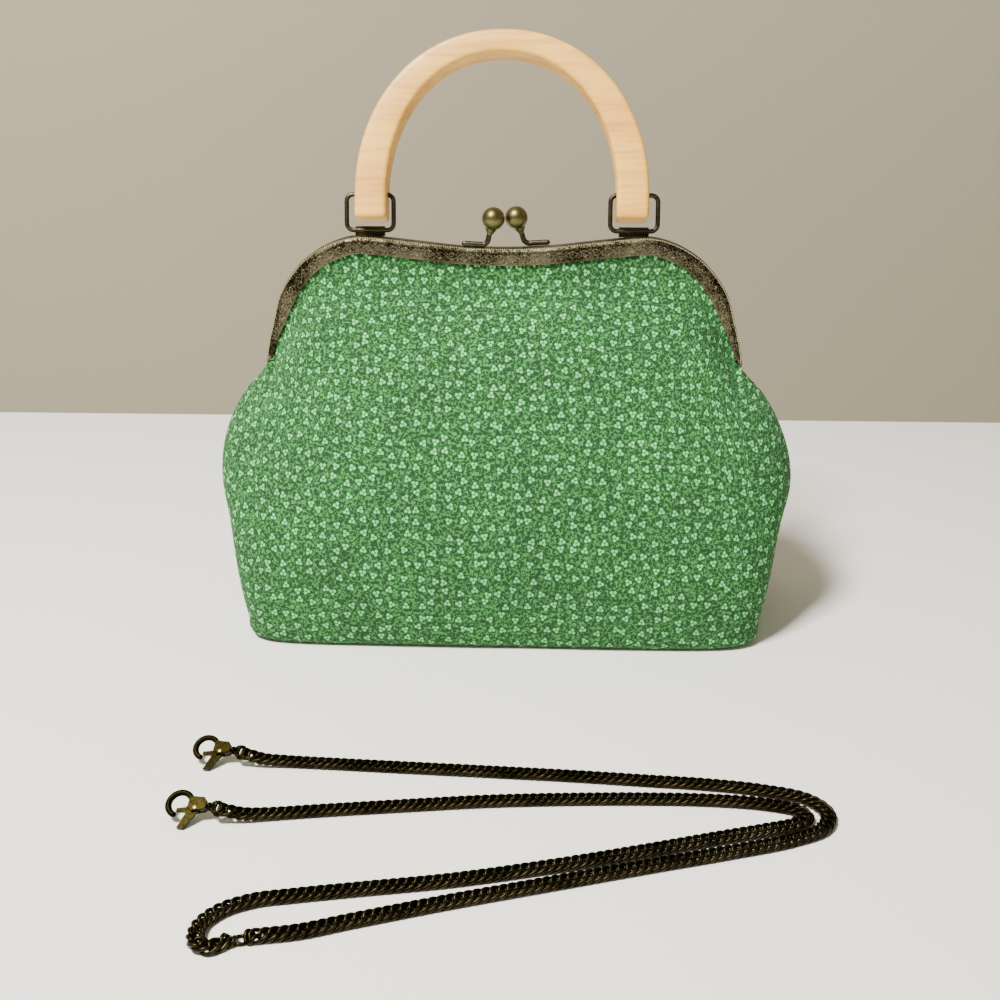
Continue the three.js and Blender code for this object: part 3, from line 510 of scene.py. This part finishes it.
def gussetMouth(side, along, outer):
    fold = 1 - along * along
    skinHere = 0 if outer else bodySize["skin"]
    x = edgeSize["halfWidth"] - channel["endFace"] - skinHere - bodySize["gussetDip"] * 0.5 * fold
    top = np.array([side * x, along * (bodySize["gussetDepth"] - skinHere),
                    edgeSize["endHeight"] - 2 * channel["gap"] - bodySize["gussetDip"] * fold])
    return top - (0, 0, channel["sheet"]), top


def panelMouth(across, front, outer):
    if abs(across) > 0.9999:
        return gussetMouth(math.copysign(1, across), front, outer)
    y = front * (fabricFront if outer else fabricFront - bodySize["skin"])
    if abs(across) > bodySize["channelReach"]:
        top = np.array([math.copysign(edgeSize["halfWidth"] - channel["endFace"], across), y,
                        edgeSize["endHeight"] - 2 * channel["gap"]])
        return top - (0, 0, channel["sheet"]), top
    point, inward, face = (a[0] for a in edgeAt(np.array([(across + 1) / 2])))
    leave = point + inward * (face + channel["sheet"])
    top = point + inward * (channel["round"] + channel["gap"])
    return leave + (0, y, 0), top + (0, y, 0)


def bodyColumn(kind, sign, across, shares, outer):
    # a column of the wall: kind "panel" with sign front or back, or kind "gusset" with its side
    panel = kind == "panel"
    leave, top = panelMouth(across, sign, outer) if panel else gussetMouth(sign, across, outer)
    skinHere = 0 if outer else bodySize["skin"]
    z = np.maximum(shares * leave[2], skinHere)
    heights = [row[0] for row in bodyRows]
    width, depth, square, corner = (softly(z / edgeSize["endHeight"], heights, [row[k] for row in bodyRows])
                                    for k in (1, 2, 3, 4))
    halfWidth = width * bodySize["halfWidth"] - skinHere
    halfDepth = depth * bodySize["halfDepth"] - skinHere
    rest = lambda run: np.maximum(1 - np.abs(run) ** square, 0) ** (1 / square)
    run = across * (corner if panel else rest(corner))
    x = run * halfWidth if panel else sign * rest(run) * halfWidth
    y = sign * rest(run) * halfDepth if panel else run * halfDepth
    for side, placeY, placeZ, inward, reach in bodyDents:
        away = np.hypot(y - placeY * bodySize["halfDepth"], z - placeZ * edgeSize["endHeight"])
        near = np.exp(-(away / (reach * bodySize["halfWidth"])) ** 2)
        near = near * (x * side > 0) * np.minimum(1, np.abs(x) / halfWidth) ** 6
        x = x - side * inward * bodySize["halfWidth"] * near
    low, near = ("middlePull", abs(across) ** 5) if panel else ("foldPull", across ** 2)
    pull = bodySize[low] + (bodySize["cornerPull"] - bodySize[low]) * near
    x = x + (leave[0] - x) * smoothstep(shares, pull, 1)
    y = y + (leave[1] - y) * smoothstep(shares, bodySize["depthPull"], 1)
    return np.column_stack([x, y, z]), top


def makeBody():
    size = bodySize
    panels = np.linspace(-1, 1, size["panelColumns"] + 1)[:-1]
    gussets = np.linspace(-1, 1, size["gussetColumns"] + 1)[:-1]
    columns = [("panel", -1, a) for a in panels] + [("gusset", 1, a) for a in gussets]
    columns += [("panel", 1, -a) for a in panels] + [("gusset", -1, -a) for a in gussets]
    rise = np.linspace(0, 1, size["rows"])
    wall = {}
    for outer in (True, False):
        made = [bodyColumn(*column, rise, outer) for column in columns]
        wall[outer] = (np.stack([points for points, top in made], axis=1),
                       np.array([top for points, top in made]))
    grid, rim = wall[True]
    # rounded edge of the base
    r = size["baseRound"]
    low = np.clip(1 - grid[..., 2] / r, 0, 1)
    inset = r * (1 - np.sqrt(1 - low ** 2))
    flat = unit(grid * (1, 1, 0))
    around = np.roll(grid, -1, axis=1) - np.roll(grid, 1, axis=1)
    outward = unit(np.cross(around, np.gradient(grid, axis=0)))
    level = unit(outward * (1, 1, 0) + flat * 1e-6)
    grid = grid - level * inset[..., None]
    # soft unevenness, and small gathers under the frame
    clear = smoothstep(1 - rise, 0.0, 0.14) * smoothstep(rise, 0.0, 0.05)
    broad, fine = (np.array([[noise.noise(Vector(p * scale) + Vector(start)) for p in row] for row in grid])
                   for scale, start in ((size["broad"], (3, 1, 7)), (size["fine"], (0, 0, 0))))
    gather = np.array([math.sin(c * 1.9 + 2.3 * math.sin(c * 0.37)) for c in range(len(columns))])
    gather = gather[None] * (smoothstep(rise, 0.72, 0.95) * smoothstep(1 - rise, 0.0, 0.05))[:, None]
    shift = (broad * size["wrinkle"] * 1.6 + fine * size["wrinkle"] * 0.5) * clear[:, None]
    grid = grid + outward * (shift + gather * size["gather"])[..., None]
    inner = wall[False][0][:: -max(1, size["rows"] // size["innerRows"])]
    floors = [grid[0] * (share, share, 0) for share in (0.02, 0.3, 0.6, 0.85, 0.96)]
    lining = wall[False][0][0]
    innerFloors = [lining * (share, share, 1) for share in (0.96, 0.6, 0.02)]
    rings = np.concatenate([floors, grid, rim[None], wall[False][1][None], inner, innerFloors])
    return grid, columns, rings, len(floors)


def addBody():
    grid, columns, rings, floors = makeBody()
    points, faces = skin(rings)
    piece = addPiece("fabric_body", (points, faces), cloth, "bag", ["fabric_body"],
                     crease=0)
    # cloth's own lengths, in mm: across from the middle of the front or back, and up from the base
    count = len(columns)
    panel, gusset = bodySize["panelColumns"], bodySize["gussetColumns"]
    frontMiddle, backMiddle = panel // 2, 3 * panel // 2 + gusset
    seams = (panel + gusset // 2, 2 * panel + gusset * 3 // 2)
    # places in the print for the base and lining, and for the back
    baseUp, backAcross = -300, 700
    steps = np.linalg.norm(np.roll(grid, -1, axis=1) - grid, axis=2)
    run = np.concatenate([np.zeros((len(grid), 1)), np.cumsum(steps, axis=1)], axis=1)
    up = np.cumsum(np.linalg.norm(np.diff(grid, axis=0, prepend=grid[:1]), axis=2), axis=0)
    layer = piece.data.uv_layers.new(name="cloth")
    uv = np.zeros((len(piece.data.loops), 2))
    at = 0
    for face in piece.data.polygons:
        corners = list(face.vertices)
        column = [v % count for v in corners]
        ring = [v // count for v in corners]
        wraps = max(column) - min(column) > count / 2
        middle = sum(c + (count if wraps and c < count / 2 else 0) for c in column) / len(column)
        front = not seams[0] <= middle < seams[1]
        for v, c, r in zip(corners, column, ring):
            row = r - floors
            if row < 0 or row >= len(grid) + 2:
                uv[at] = points[v][:2] + (0, baseUp)
            else:
                row = min(row, len(grid) - 1)
                here = c + (count if wraps and c < count / 2 else 0)
                if front:
                    u = run[row, min(here, count)] - run[row, frontMiddle]
                    if middle >= seams[1]:
                        u -= run[row, count]
                else:
                    u = run[row, here] - run[row, backMiddle] + backAcross
                uv[at] = u, up[row, c]
            at += 1
    layer.data.foreach_set("uv", uv.ravel())


addBody()
print("fabric body")

# frame halves
ornament = {"wave": 13, "sway": 1.7, "wire": 0.2, "curl": 1.25, "lift": 0.06, "ends": 10.0, "step": 0.6,
            "lowRoom": 1.0, "fullRoom": 6.0, "beadPitch": 1.2, "bead": 0.55, "beadInset": 0.8,
            "beadDepth": 4.3, "stud": 0.34, "rim": 0.2, "grains": 2400, "grainLow": 0.16,
            "grainHigh": 0.36, "sink": 0.05}
rubbed = {"bead": 1.1, "vine": 0.16, "rim": 0.15, "curl": 0.22, "stud": 0.6, "tab": 0.3, "grain": (-0.3, 0.4)}
studPlaces = ((-0.2, 1.5), (0.25, -1.9), (0.5, 1.7))  # along in waves, inwards in mm
tab = {"low": 146.1, "high": 151.1, "halfWidth": 2.6, "top": 154.7, "slit": 0.15, "notch": 0.2}


def onFace(run, inset, front, lift=0.0):
    # places on the stamped face: run along the edge in mm, inset from it
    point, inward, face = edgeAt(np.asarray(run) / edgeRun[-1])
    placed = point + inward * np.asarray(inset)[:, None]
    placed[:, 1] = front * (channel["halfDepth"] + lift)
    return placed


def makeFrameHalf(front):
    c = channel
    shares = np.linspace(0, 1, c["stations"])
    point, inward, face = edgeAt(shares)
    # section's points as inset and depth; those with "face" are measured from the face's lower rim
    outer, inner, shoulder = c["halfDepth"], c["halfDepth"] - c["sheet"], c["halfDepth"] - c["topDepth"]
    lip = c["gap"] / 2
    section = [(0.12, 0.15), (0, 0.3), (0, c["topDepth"] - 0.4)]
    section += [(c["round"] * (1 - math.cos(t)), c["topDepth"] + shoulder * math.sin(t))
                for t in np.radians(np.linspace(0, 90, 8))]
    section += [("face", -0.35, outer), ("face", -0.08, outer - 0.08), ("face", 0, outer - 0.35),
                ("face", 0, inner), (c["round"], inner), (c["sheet"] + 0.6, c["topDepth"] + 1.2),
                (c["sheet"], c["topDepth"]), (c["sheet"], lip + c["sheet"]),
                ("face", 0, lip + c["sheet"]), ("face", 0, lip)]
    rings = []
    for p, i, f in zip(point, inward, face):
        row = [((f + s[1]), s[2]) if s[0] == "face" else s for s in section]
        rings.append([p + i * inset + np.array([0, front * depth, 0]) for inset, depth in row])
    channelPart = skin(rings)
    parts, raised = [channelPart], [np.zeros(len(channelPart[0]))]

    def put(part, value):
        parts.append(part)
        raised.append(np.full(len(part[0]), value))

    o = ornament
    length = edgeRun[-1]
    # row of beads along the crest
    count = int(length / o["beadPitch"])
    spots, i, f = edgeAt((np.arange(count) + 0.5) / count)
    spots = spots + i * o["beadInset"]
    spots[:, 1] = front * o["beadDepth"]
    one = ball(o["bead"], 7, 4)
    for spot in spots:
        put(placed(one, None, spot), rubbed["bead"])
    # crossing vines with curls and studs, two plain lines along the lower rim
    first, last = o["ends"], length - o["ends"]
    run = np.arange(first, last, o["step"])
    faceHere = edgeAt(run / length)[2]
    highest, lowest = c["round"] * 0.75, faceHere - o["lowRoom"]
    middle = (highest + lowest) / 2
    room = np.clip((lowest - highest) / o["fullRoom"], 0.3, 1)
    for phase in (0, math.pi):
        sway = o["sway"] * room * np.sin(2 * math.pi * run / o["wave"] + phase)
        put(sweep(onFace(run, middle + sway, front, o["lift"]), o["wire"], 5), rubbed["vine"])
    for up, wire in ((0.4, o["rim"]), (1.15, o["rim"] * 0.6)):
        put(sweep(onFace(run, faceHere - up, front, 0), wire, 5), rubbed["rim"])
    for k, centre in enumerate(np.arange(first + o["wave"] / 4, last - 2, o["wave"] / 2)):
        side = 1 if k % 2 == 0 else -1
        mid = float(np.interp(centre, run, middle))
        size = float(np.interp(centre, run, room))
        t = np.linspace(0, 1, 22)
        reach = (o["curl"] * (1 - t) + 0.35) * size
        turn = side * (math.pi / 2 + t * 2.6 * math.pi)
        curlRun = centre + o["wave"] * 0.22 + reach * np.cos(turn)
        curlIn = mid - side * 0.55 * size + reach * np.sin(turn)
        put(sweep(onFace(curlRun, curlIn, front, o["lift"]), o["wire"] * 0.85, 5), rubbed["curl"])
        for along, inset in studPlaces:
            spot = onFace([centre + along * o["wave"]], [mid + side * inset * size], front, 0)[0]
            put(placed(ball(o["stud"], 6, 3), None, spot), rubbed["stud"])
    # worn granules between them
    chance = np.random.default_rng(11 + front)
    grainRun = chance.uniform(6, length - 6, o["grains"])
    low = np.interp(grainRun, run, faceHere)
    grainIn = 0.7 + (low - 2.1) * chance.uniform(0, 1, o["grains"])
    spots = onFace(grainRun, grainIn, front, -o["sink"])
    # those on the rounded shoulder sit on its arc
    arc = np.sqrt(1 - np.clip(1 - grainIn / c["round"], 0, 1) ** 2)
    spots[:, 1] = front * (c["topDepth"] + shoulder * arc - o["sink"])
    sizes = chance.uniform(o["grainLow"], o["grainHigh"], o["grains"])
    for spot, size, worn in zip(spots, sizes, chance.uniform(*rubbed["grain"], o["grains"])):
        put(placed(ball(size, 5, 3), None, spot), worn)
    # hinge tabs, the back half's inside the front half's
    outerX = edgeSize["halfWidth"] - (0 if front < 0 else c["sheet"] + c["gap"])
    wide, high, top = tab["halfWidth"], tab["high"], tab["top"]
    outline = [(wide * math.cos(t), tab["low"] + wide + wide * math.sin(t))
               for t in np.radians(np.linspace(180, 360, 13))]
    if front < 0:
        outline += [(wide, high), (-tab["slit"], high + tab["notch"]), (-tab["slit"], top), (-wide, top)]
    else:
        outline += [(wide, top), (tab["slit"], top), (tab["slit"], high + tab["notch"]), (-wide, high)]
    flat = np.array(outline)
    for side in (-1, 1):
        layers = [np.column_stack([np.full(len(flat), side * (outerX - d)), flat]) for d in (0, c["sheet"])]
        put(skin(layers[::side]), rubbed["tab"])
    return joined(parts), np.concatenate(raised)


for name, front in (("frame_front", -1), ("frame_back", 1)):
    part, raised = makeFrameHalf(front)
    addPiece(name, part, stamped, "bag", [name], values={"raised": raised})
print("frame halves")

# hinge rivets
rivetProfile = [  # radius, and distance from the bag's middle
    (poleRadius, 131.3), (1.6, 131.35), (1.9, 131.6), (1.9, 131.9), (1.1, 131.9), (1.1, 134.65),
    (1.9, 134.65), (1.85, 134.95), (1.3, 135.2), (poleRadius, 135.25)]
for name, side in (("hinge_rivet_left", -1), ("hinge_rivet_right", 1)):
    rivet = placed(lathe(rivetProfile, 20), facing((side, 0, 0)), (0, 0, tab["low"] + tab["halfWidth"]))
    addPiece(name, rivet, bronze, "bag", [name])

# ball clasps
clasp = {"ball": 6.25, "offset": 6.2, "rise": 15.6, "wire": 1.25, "foot": 12.4, "neck": 1.5, "middle": 1.1,
         "bends": {-1: 3.6, 1: 4.8}}
claspFlat = (0, 4, 8)  # places along the foot, from its end
claspBend = ((1.9, 0), (0.7, 0.7), (0, 2.0), (0, 4))  # along the foot and up the neck, from the bend
claspCollar = ((poleRadius, 2.6), (1.5, 2.6), (1.8, 1.9), (2.3, 1.0), (2.9, 0.1))  # radius, below the ball
halfMiddle = (channel["halfDepth"] + channel["gap"] / 2) / 2


def makeClasp(side):
    c = clasp
    across = lambda x: c["middle"] + side * x
    centre = np.array([across(c["offset"]), 0, edgeTop(0) + c["rise"]])
    seat = lambda x: edgeTop(across(x)) + channel["gap"] + c["wire"]
    bendX = c["offset"] + c["bends"][side]
    rise = np.array([across(bendX), 0, seat(bendX)])
    foot = np.array([across(bendX + c["foot"]), 0, seat(bendX + c["foot"])])
    up = unit(centre - rise)
    along = unit(foot - rise)
    path = [foot - along * step for step in claspFlat]
    path += [rise + along * flat + up * high for flat, high in claspBend]
    path += [centre - up * (c["ball"] + 0.4)]
    wire = sweep(smoothPath(path, 0.5), c["neck"], 14)
    profile = [(radius, -c["ball"] - below) for radius, below in claspCollar]
    profile += [(c["ball"] * math.sin(t), -c["ball"] * math.cos(t))
                for t in np.radians(np.linspace(31, 179.6, 30))]
    top = placed(lathe(profile, 48), facing(up), centre)
    return joined([wire, top]), len(wire[1])


for name, side, y in (("clasp_front", -1, -halfMiddle), ("clasp_back", 1, halfMiddle)):
    part, wireFaces = makeClasp(side)
    piece = addPiece(name, placed(part, None, (0, y, 0)), brass, "bag", [name], crease=50)
    piece.data.materials.append(bronze)
    for face in piece.data.polygons[:wireFaces]:
        face.material_index = 1

# rings and the cradles that hold them
ring = {"spacing": 145.4, "middle": -0.9, "width": 26, "height": 19.2, "wire": 1.3, "corner": 3.6,
        "lean": 11.5, "inLeg": 4, "lugLength": 16.4, "lugWall": 0.7, "lugSeat": 1.0, "pin": 0.2}
grip = {"halfWidth": 80.2, "leg": 17.4, "crown": 12.3, "rise": 101.2, "depth": 17.5, "straight": 12,
        "hole": 14, "edge": 2.4, "lean": 16, "square": 2.1, "stations": 150}
lugBore = ring["wire"] + ring["pin"]
lugRadius = lugBore + ring["lugWall"]
barHeight = edgeSize["endHeight"] + edgeSize["rise"] + channel["gap"] + lugRadius


def makeLug():
    turns = np.radians(np.linspace(25, 255, 22))
    outer = np.array([(-lugRadius * math.cos(t), -lugRadius * math.sin(t)) for t in turns])
    # its underside reaches down to the frame
    outer[:, 1] -= ring["lugSeat"] * smoothstep(-outer[:, 1], 1.3, 1.9)
    inner = np.array([(-lugBore * math.cos(t), -lugBore * math.sin(t)) for t in turns[::-1]])
    section = np.vstack([outer, inner])
    half = ring["lugLength"] / 2
    return skin([np.column_stack([np.full(len(section), x), section]) for x in (-half, half)])


def makeRing():
    r = ring
    half, end, bend = r["width"] / 2, grip["leg"] / 2 - r["inLeg"], r["corner"]
    path = [(-end, 0, r["height"]), (-half + bend, 0, r["height"])]
    for cx, cz, start in ((-half + bend, r["height"] - bend, 90), (-half + bend, bend, 180),
                          (half - bend, bend, 270), (half - bend, r["height"] - bend, 0)):
        path += [(cx + bend * math.cos(t), 0, cz + bend * math.sin(t))
                 for t in np.radians(np.linspace(start, start + 90, 8))]
    path += [(half - bend, 0, r["height"]), (end, 0, r["height"])]
    keep = [path[0]] + [b for a, b in zip(path, path[1:]) if np.linalg.norm(np.subtract(a, b)) > 0.05]
    return sweep(keep, r["wire"], 14, start=(0, 1, 0))


def makeHandle():
    g = grip
    half = g["halfWidth"]
    outerRise, innerHalf = g["rise"] - g["straight"], half - g["leg"]
    innerRise = outerRise - g["crown"]
    turns = np.linspace(0, math.pi, 400)
    power = 2 / g["square"]
    arch = lambda w, h: np.column_stack([rounder(np.cos(turns), power) * w, 0 * turns,
                                         g["straight"] + rounder(np.sin(turns), power) * h])
    outer, inner = arch(half, outerRise), arch(innerHalf, innerRise)
    legs = np.linspace(g["edge"], g["straight"], 6)[:-1]
    leg = lambda w: np.array([[w, 0, z] for z in legs])
    outer = np.vstack([leg(half), outer, leg(-half)[::-1]])
    inner = np.vstack([leg(innerHalf), inner, leg(-innerHalf)[::-1]])
    run = runOf((outer + inner) / 2)
    at = np.linspace(0, run[-1], g["stations"])
    outer, inner = (pointsAt(at, run, line) for line in (outer, inner))
    e, depth = g["edge"], g["depth"] / 2

    def ringOf(far, near, trim, corner):
        # one section of the handle, with rounded corners
        out = unit(far - near)
        width, high = np.linalg.norm(far - near) / 2 - corner, depth - corner
        ringPoints = []
        for cw, cd, start in ((width, high, 0), (-width, high, 90), (-width, -high, 180),
                              (width, -high, 270)):
            for t in np.radians(np.linspace(start, start + 90, 7)):
                a, b = cw + (corner - trim) * math.cos(t), cd + (corner - trim) * math.sin(t)
                ringPoints.append((far + near) / 2 + out * a + np.array([0, b, 0]))
        return ringPoints

    rings = [ringOf(f, n, 0, e) for f, n in zip(outer, inner)]
    for end in (0, -1):
        f, n = outer[end], inner[end]
        caps = [ringOf(f - (0, 0, e * math.sin(t)), n - (0, 0, e * math.sin(t)), e * (1 - math.cos(t)), e)
                for t in np.radians((25, 50, 72, 88))]
        rings = rings + caps if end else caps[::-1] + rings
    return skin(rings)


for name, side in (("left", -1), ("right", 1)):
    at = (ring["middle"] + side * ring["spacing"] / 2, halfMiddle, barHeight)
    addPiece("lug_" + name, placed(makeLug(), None, at), bronze, "bag", ["lug_" + name])
    addPiece("ring_" + name, placed(makeRing(), turnAbout("X", -ring["lean"]), at), bronze, "rings",
             ["ring_" + name], crease=0)
lean, ringLean = math.radians(grip["lean"]), math.radians(ring["lean"])
gripAt = (ring["middle"], halfMiddle + ring["height"] * math.sin(ringLean) - grip["hole"] * math.sin(lean),
          barHeight + ring["height"] * math.cos(ringLean) - grip["hole"] * math.cos(lean))
gripTurn = turnAbout("X", -grip["lean"])
addPiece("handle", placed(makeHandle(), gripTurn, gripAt), wood, "handle", ["handle"], crease=0)
print("clasps, rings and handle")

# chain strap
link = {"pitch": 3.53, "length": 9.66, "width": 7.4, "wire": 0.84, "twist": -45, "around": 26, "sides": 7,
        "lie": 1.9, "before": 1.9, "beyond": 1.2, "firstRoll": 35, "bend": 0.5}
low = link["lie"]
chainRoutes = {  # the same chosen points as the CAD part's
    "chain_long": [
        (-111.3, -190.9, 5.8), (-103, -190.8, 3.4), (-94, -190.3, 2.3), (-74, -191, low), (-37, -193, low),
        (0, -194.9, low), (38, -197, low), (74, -199.7, low), (100, -201.7, low), (124, -205.5, low),
        (141.5, -211.6, low), (148.3, -222, low), (144.6, -233, low), (129, -242.2, low), (102, -251.6, low),
        (69, -261.9, low), (29, -274.8, low), (-10, -287.4, low), (-46, -300, low), (-64, -306.6, low),
        (-79.9, -310, low)],
    "chain_short": [
        (-110.2, -235.8, 5.8), (-102, -234.6, 3.4), (-93, -232.7, 2.3), (-72, -229, low), (-32, -223.2, low),
        (0, -218.9, low), (34, -216, low), (70, -214.2, low), (100, -214.1, low), (122, -216.2, low),
        (135.6, -220.4, low), (138.8, -225.6, low), (133.6, -230.4, low), (120.5, -235.2, low),
        (100, -241.6, low), (66, -252.6, low), (30, -263.6, low), (-10, -274.2, low), (-45, -281, low),
        (-70, -286, low), (-85, -289.6, low), (-96, -296, low), (-101.6, -305, low), (-100.5, -313.6, low),
        (-95, -316.6, low), (-89.7, -312.8, low)],
}


def makeChain(points):
    path = smoothPath(points, 0.5)
    run = runOf(path)
    reach = link["length"] / 2 - link["wire"]
    first, last = -link["before"], run[-1] + link["beyond"]
    count = int((last - first) / link["pitch"])
    pitch = (last - first) / count
    along = unit(np.gradient(path, axis=0))
    turn = fullTurn(link["around"])
    half = link["width"] / 2 - link["wire"]
    x = rounder(np.cos(turn), 0.9) * reach
    y = rounder(np.sin(turn), 0.8) * half
    phi = math.radians(link["twist"]) * x / reach
    shape = np.column_stack([x, y * np.cos(phi), y * np.sin(phi)])
    parts = []
    for k in range(count + 1):
        at = first + k * pitch
        # the first link is rolled to pass through the swivel's eye
        turned = shape @ turnAbout("X", link["firstRoll"] if k == 0 else 0).T
        # each point of the link follows the route a little, so that links bend with it
        centre = pointsAt(at + turned[:, 0] * link["bend"], run, path)
        ahead = unit(pointsAt([at], run, along))[0]
        beyond = min(at, 0) + max(at - run[-1], 0)
        side = unit(np.cross((0, 0, 1), ahead))
        over = np.cross(ahead, side)
        stretch = turned[:, :1] * (1 - link["bend"]) + beyond
        loop = centre + ahead * stretch + side * turned[:, 1:2] + over * turned[:, 2:3]
        parts.append(sweep(loop, link["wire"], link["sides"], closed=True))
    return joined(parts)


for name, points in chainRoutes.items():
    addPiece(name, makeChain(points), linked, "bag", [name], crease=0)
jump = {"length": 9, "width": 6, "wire": 0.7, "at": (-84.6, -311, 0.9), "turn": 12}
turn = fullTurn(40)
oval = np.column_stack([(jump["length"] / 2 - jump["wire"]) * np.cos(turn),
                        (jump["width"] / 2 - jump["wire"]) * np.sin(turn), 0 * turn])
addPiece("jump_ring", placed(sweep(oval, jump["wire"], 12, closed=True), turnAbout("Z", jump["turn"]),
                             jump["at"]), linked, "bag", ["jump_ring"], crease=0)
print("chain strap")

# trigger hooks, each in its own frame as in the CAD part
hook = {"ring": 5.2, "wire": 1.2, "length": 8.2, "width": 6.8, "thick": 4.4, "plate": 1.1, "pin": 0.75,
        "tail": 9.2, "tailLean": 0.52, "eye": 2.3, "eyeWire": 0.8, "eyeX": 4.0, "gateX": -4.8, "gateY": -1.6,
        "gateGap": 0.6, "tilt": 33, "height": 6.75}
wireSwell = (1.1, 1.15, 1.25, 1.1)  # hook wire's thickness, from its root to its point
hookPlaces = {"hook_a": (-118.4, -189.5, -8), "hook_b": (-117.3, -234.9, -6)}  # x, y and heading


def makeHookBody():
    h = hook
    ringX = -h["length"] - h["ring"] + 1.2
    turns = np.radians(np.linspace(28, 250, 26))
    path = [(-h["length"] + 2.6, h["ring"] * 0.36, 0)]
    path += [(ringX + h["ring"] * math.cos(t), h["ring"] * math.sin(t), 0) for t in turns]
    path = smoothPath(path, 0.6)
    swell = np.interp(np.linspace(0, 1, len(path)), (0, 0.4, 0.8, 1), wireSwell)
    wire = sweep(path, h["wire"] * swell, 14)
    half, back = h["width"] / 2, -h["length"]
    outline = [(back, half * 0.86), (back, -half * 0.5), (back + 2, -half), (-1, -half * 0.62),
               (0, -half * 0.4), (0, half * 0.4), (-1.6, half), (back + 1, half)]
    outward = h["thick"] / 2 - h["plate"] / 2
    sides = [placed(plate(outline, h["plate"], 0.28), None, (0, 0, z)) for z in (-outward, outward)]
    core = [(back + 0.2, half * 0.8), (back + 0.2, 0.3), (-2.6, 0.3), (-2.6, -half * 0.7),
            (-1.1, -half * 0.55), (-0.2, -half * 0.35), (-0.2, half * 0.35), (-1.7, half * 0.92),
            (back + 1, half * 0.92)]
    return joined([wire, *sides, slab(core, -outward, outward)])


def makeGate():
    h = hook
    tailX = -h["tailLean"] * h["tail"]
    outline = [(1.4, -0.9), (1.5, 0.3), (0.8, 0.9), (-2.6, 0.4), (-8.2, -0.6), (-8.2, -1.9), (-3.6, -2.0),
               (tailX - 1.2, -h["tail"]), (tailX + 1.6, -h["tail"])]
    half = h["thick"] / 2 - h["plate"] - h["gateGap"] / 2
    return slab(outline, -half, half)


def makeSwivel():
    h = hook
    stem = lathe([(poleRadius, -1.9), (1.0, -1.9), (1.0, 0.3), (1.75, 0.3), (1.9, 0.5), (1.9, 1.2),
                  (1.7, 1.4), (1.1, 1.9), (poleRadius, 2.0)], 20)
    turn = fullTurn(32)
    eye = np.column_stack([h["eyeX"] + h["eye"] * np.cos(turn), h["eye"] * np.sin(turn), 0 * turn])
    return joined([placed(stem, facing((1, 0, 0))), sweep(eye, h["eyeWire"], 10, closed=True)])


for name, (x, y, heading) in hookPlaces.items():
    turn = turnAbout("Z", heading) @ turnAbout("X", hook["tilt"])
    at = np.array([x, y, hook["height"]])
    pivot = at + turn @ np.array([hook["gateX"], hook["gateY"], 0])
    dome = [(poleRadius, -2.5), (hook["pin"], -2.45), (hook["pin"], 2.3), (0.95, 2.3), (0.85, 2.5),
            (0.4, 2.6), (poleRadius, 2.62)]
    for kind, part, where, material, body in (
            ("_body", makeHookBody(), at, dark, name), ("_gate", makeGate(), pivot, dark, name + "_gate"),
            ("_rivet", lathe(dome, 18), pivot, brass, name), ("_swivel", makeSwivel(), at, dark, "bag")):
        addPiece(name + kind, placed(part, turn, where), material, body, [name + kind])
print("hooks")

# stage, light and camera
def stagePlane(name, corners, tint):
    mesh = bpy.data.meshes.new(name)
    mesh.from_pydata(corners, [], [(0, 1, 2, 3)])
    material, tree, surface = newMaterial(name, Base_Color=tint, Roughness=0.8)
    mesh.materials.append(material)
    made = newObject(name, mesh)


room = {"halfWidth": 3, "front": -2, "wall": 0.42, "low": -1, "high": 3}  # metres
w, wallY = room["halfWidth"], room["wall"]
stagePlane("floor", [(-w, room["front"], 0), (w, room["front"], 0), (w, wallY, 0), (-w, wallY, 0)],
           colour(228, 226, 218))
stagePlane("backdrop", [(-w, wallY, room["low"]), (w, wallY, room["low"]), (w, wallY, room["high"]),
                        (-w, wallY, room["high"])], colour(132, 124, 105))

world = bpy.data.worlds.new("room")
bpy.context.scene.world = world
world.use_nodes = True
background = world.node_tree.nodes["Background"].inputs
background["Color"].default_value = colour(226, 220, 208)
background["Strength"].default_value = 0.55


def areaLight(name, at, aim, size, power, tint):
    data = bpy.data.lights.new(name, "AREA")
    data.size, data.energy, data.color = size, power, tint
    made = newObject(name, data)
    made.location = at
    made.rotation_euler = (Vector(aim) - Vector(at)).to_track_quat("-Z", "Y").to_euler()


areaLight("key", (-0.6, -0.8, 1.55), (0, -0.1, 0.08), 0.35, 98, (1.0, 0.98, 0.95))
areaLight("fill", (-1.4, -1.2, 1.1), (0, 0, 0.1), 1.2, 3, (1.0, 0.98, 0.95))

view = {"lens": 43.2, "sensor": 36, "at": (0.02533, -0.67052, 0.300), "down": 19.3, "left": 2.3}
lens = bpy.data.cameras.new("camera")
lens.lens, lens.sensor_width = view["lens"], view["sensor"]
eyeObject = newObject("camera", lens)
eyeObject.location = view["at"]
eyeObject.rotation_euler = (math.radians(90 - view["down"]), 0, math.radians(view["left"]))
bpy.context.scene.camera = eyeObject

bpy.context.view_layer.update()
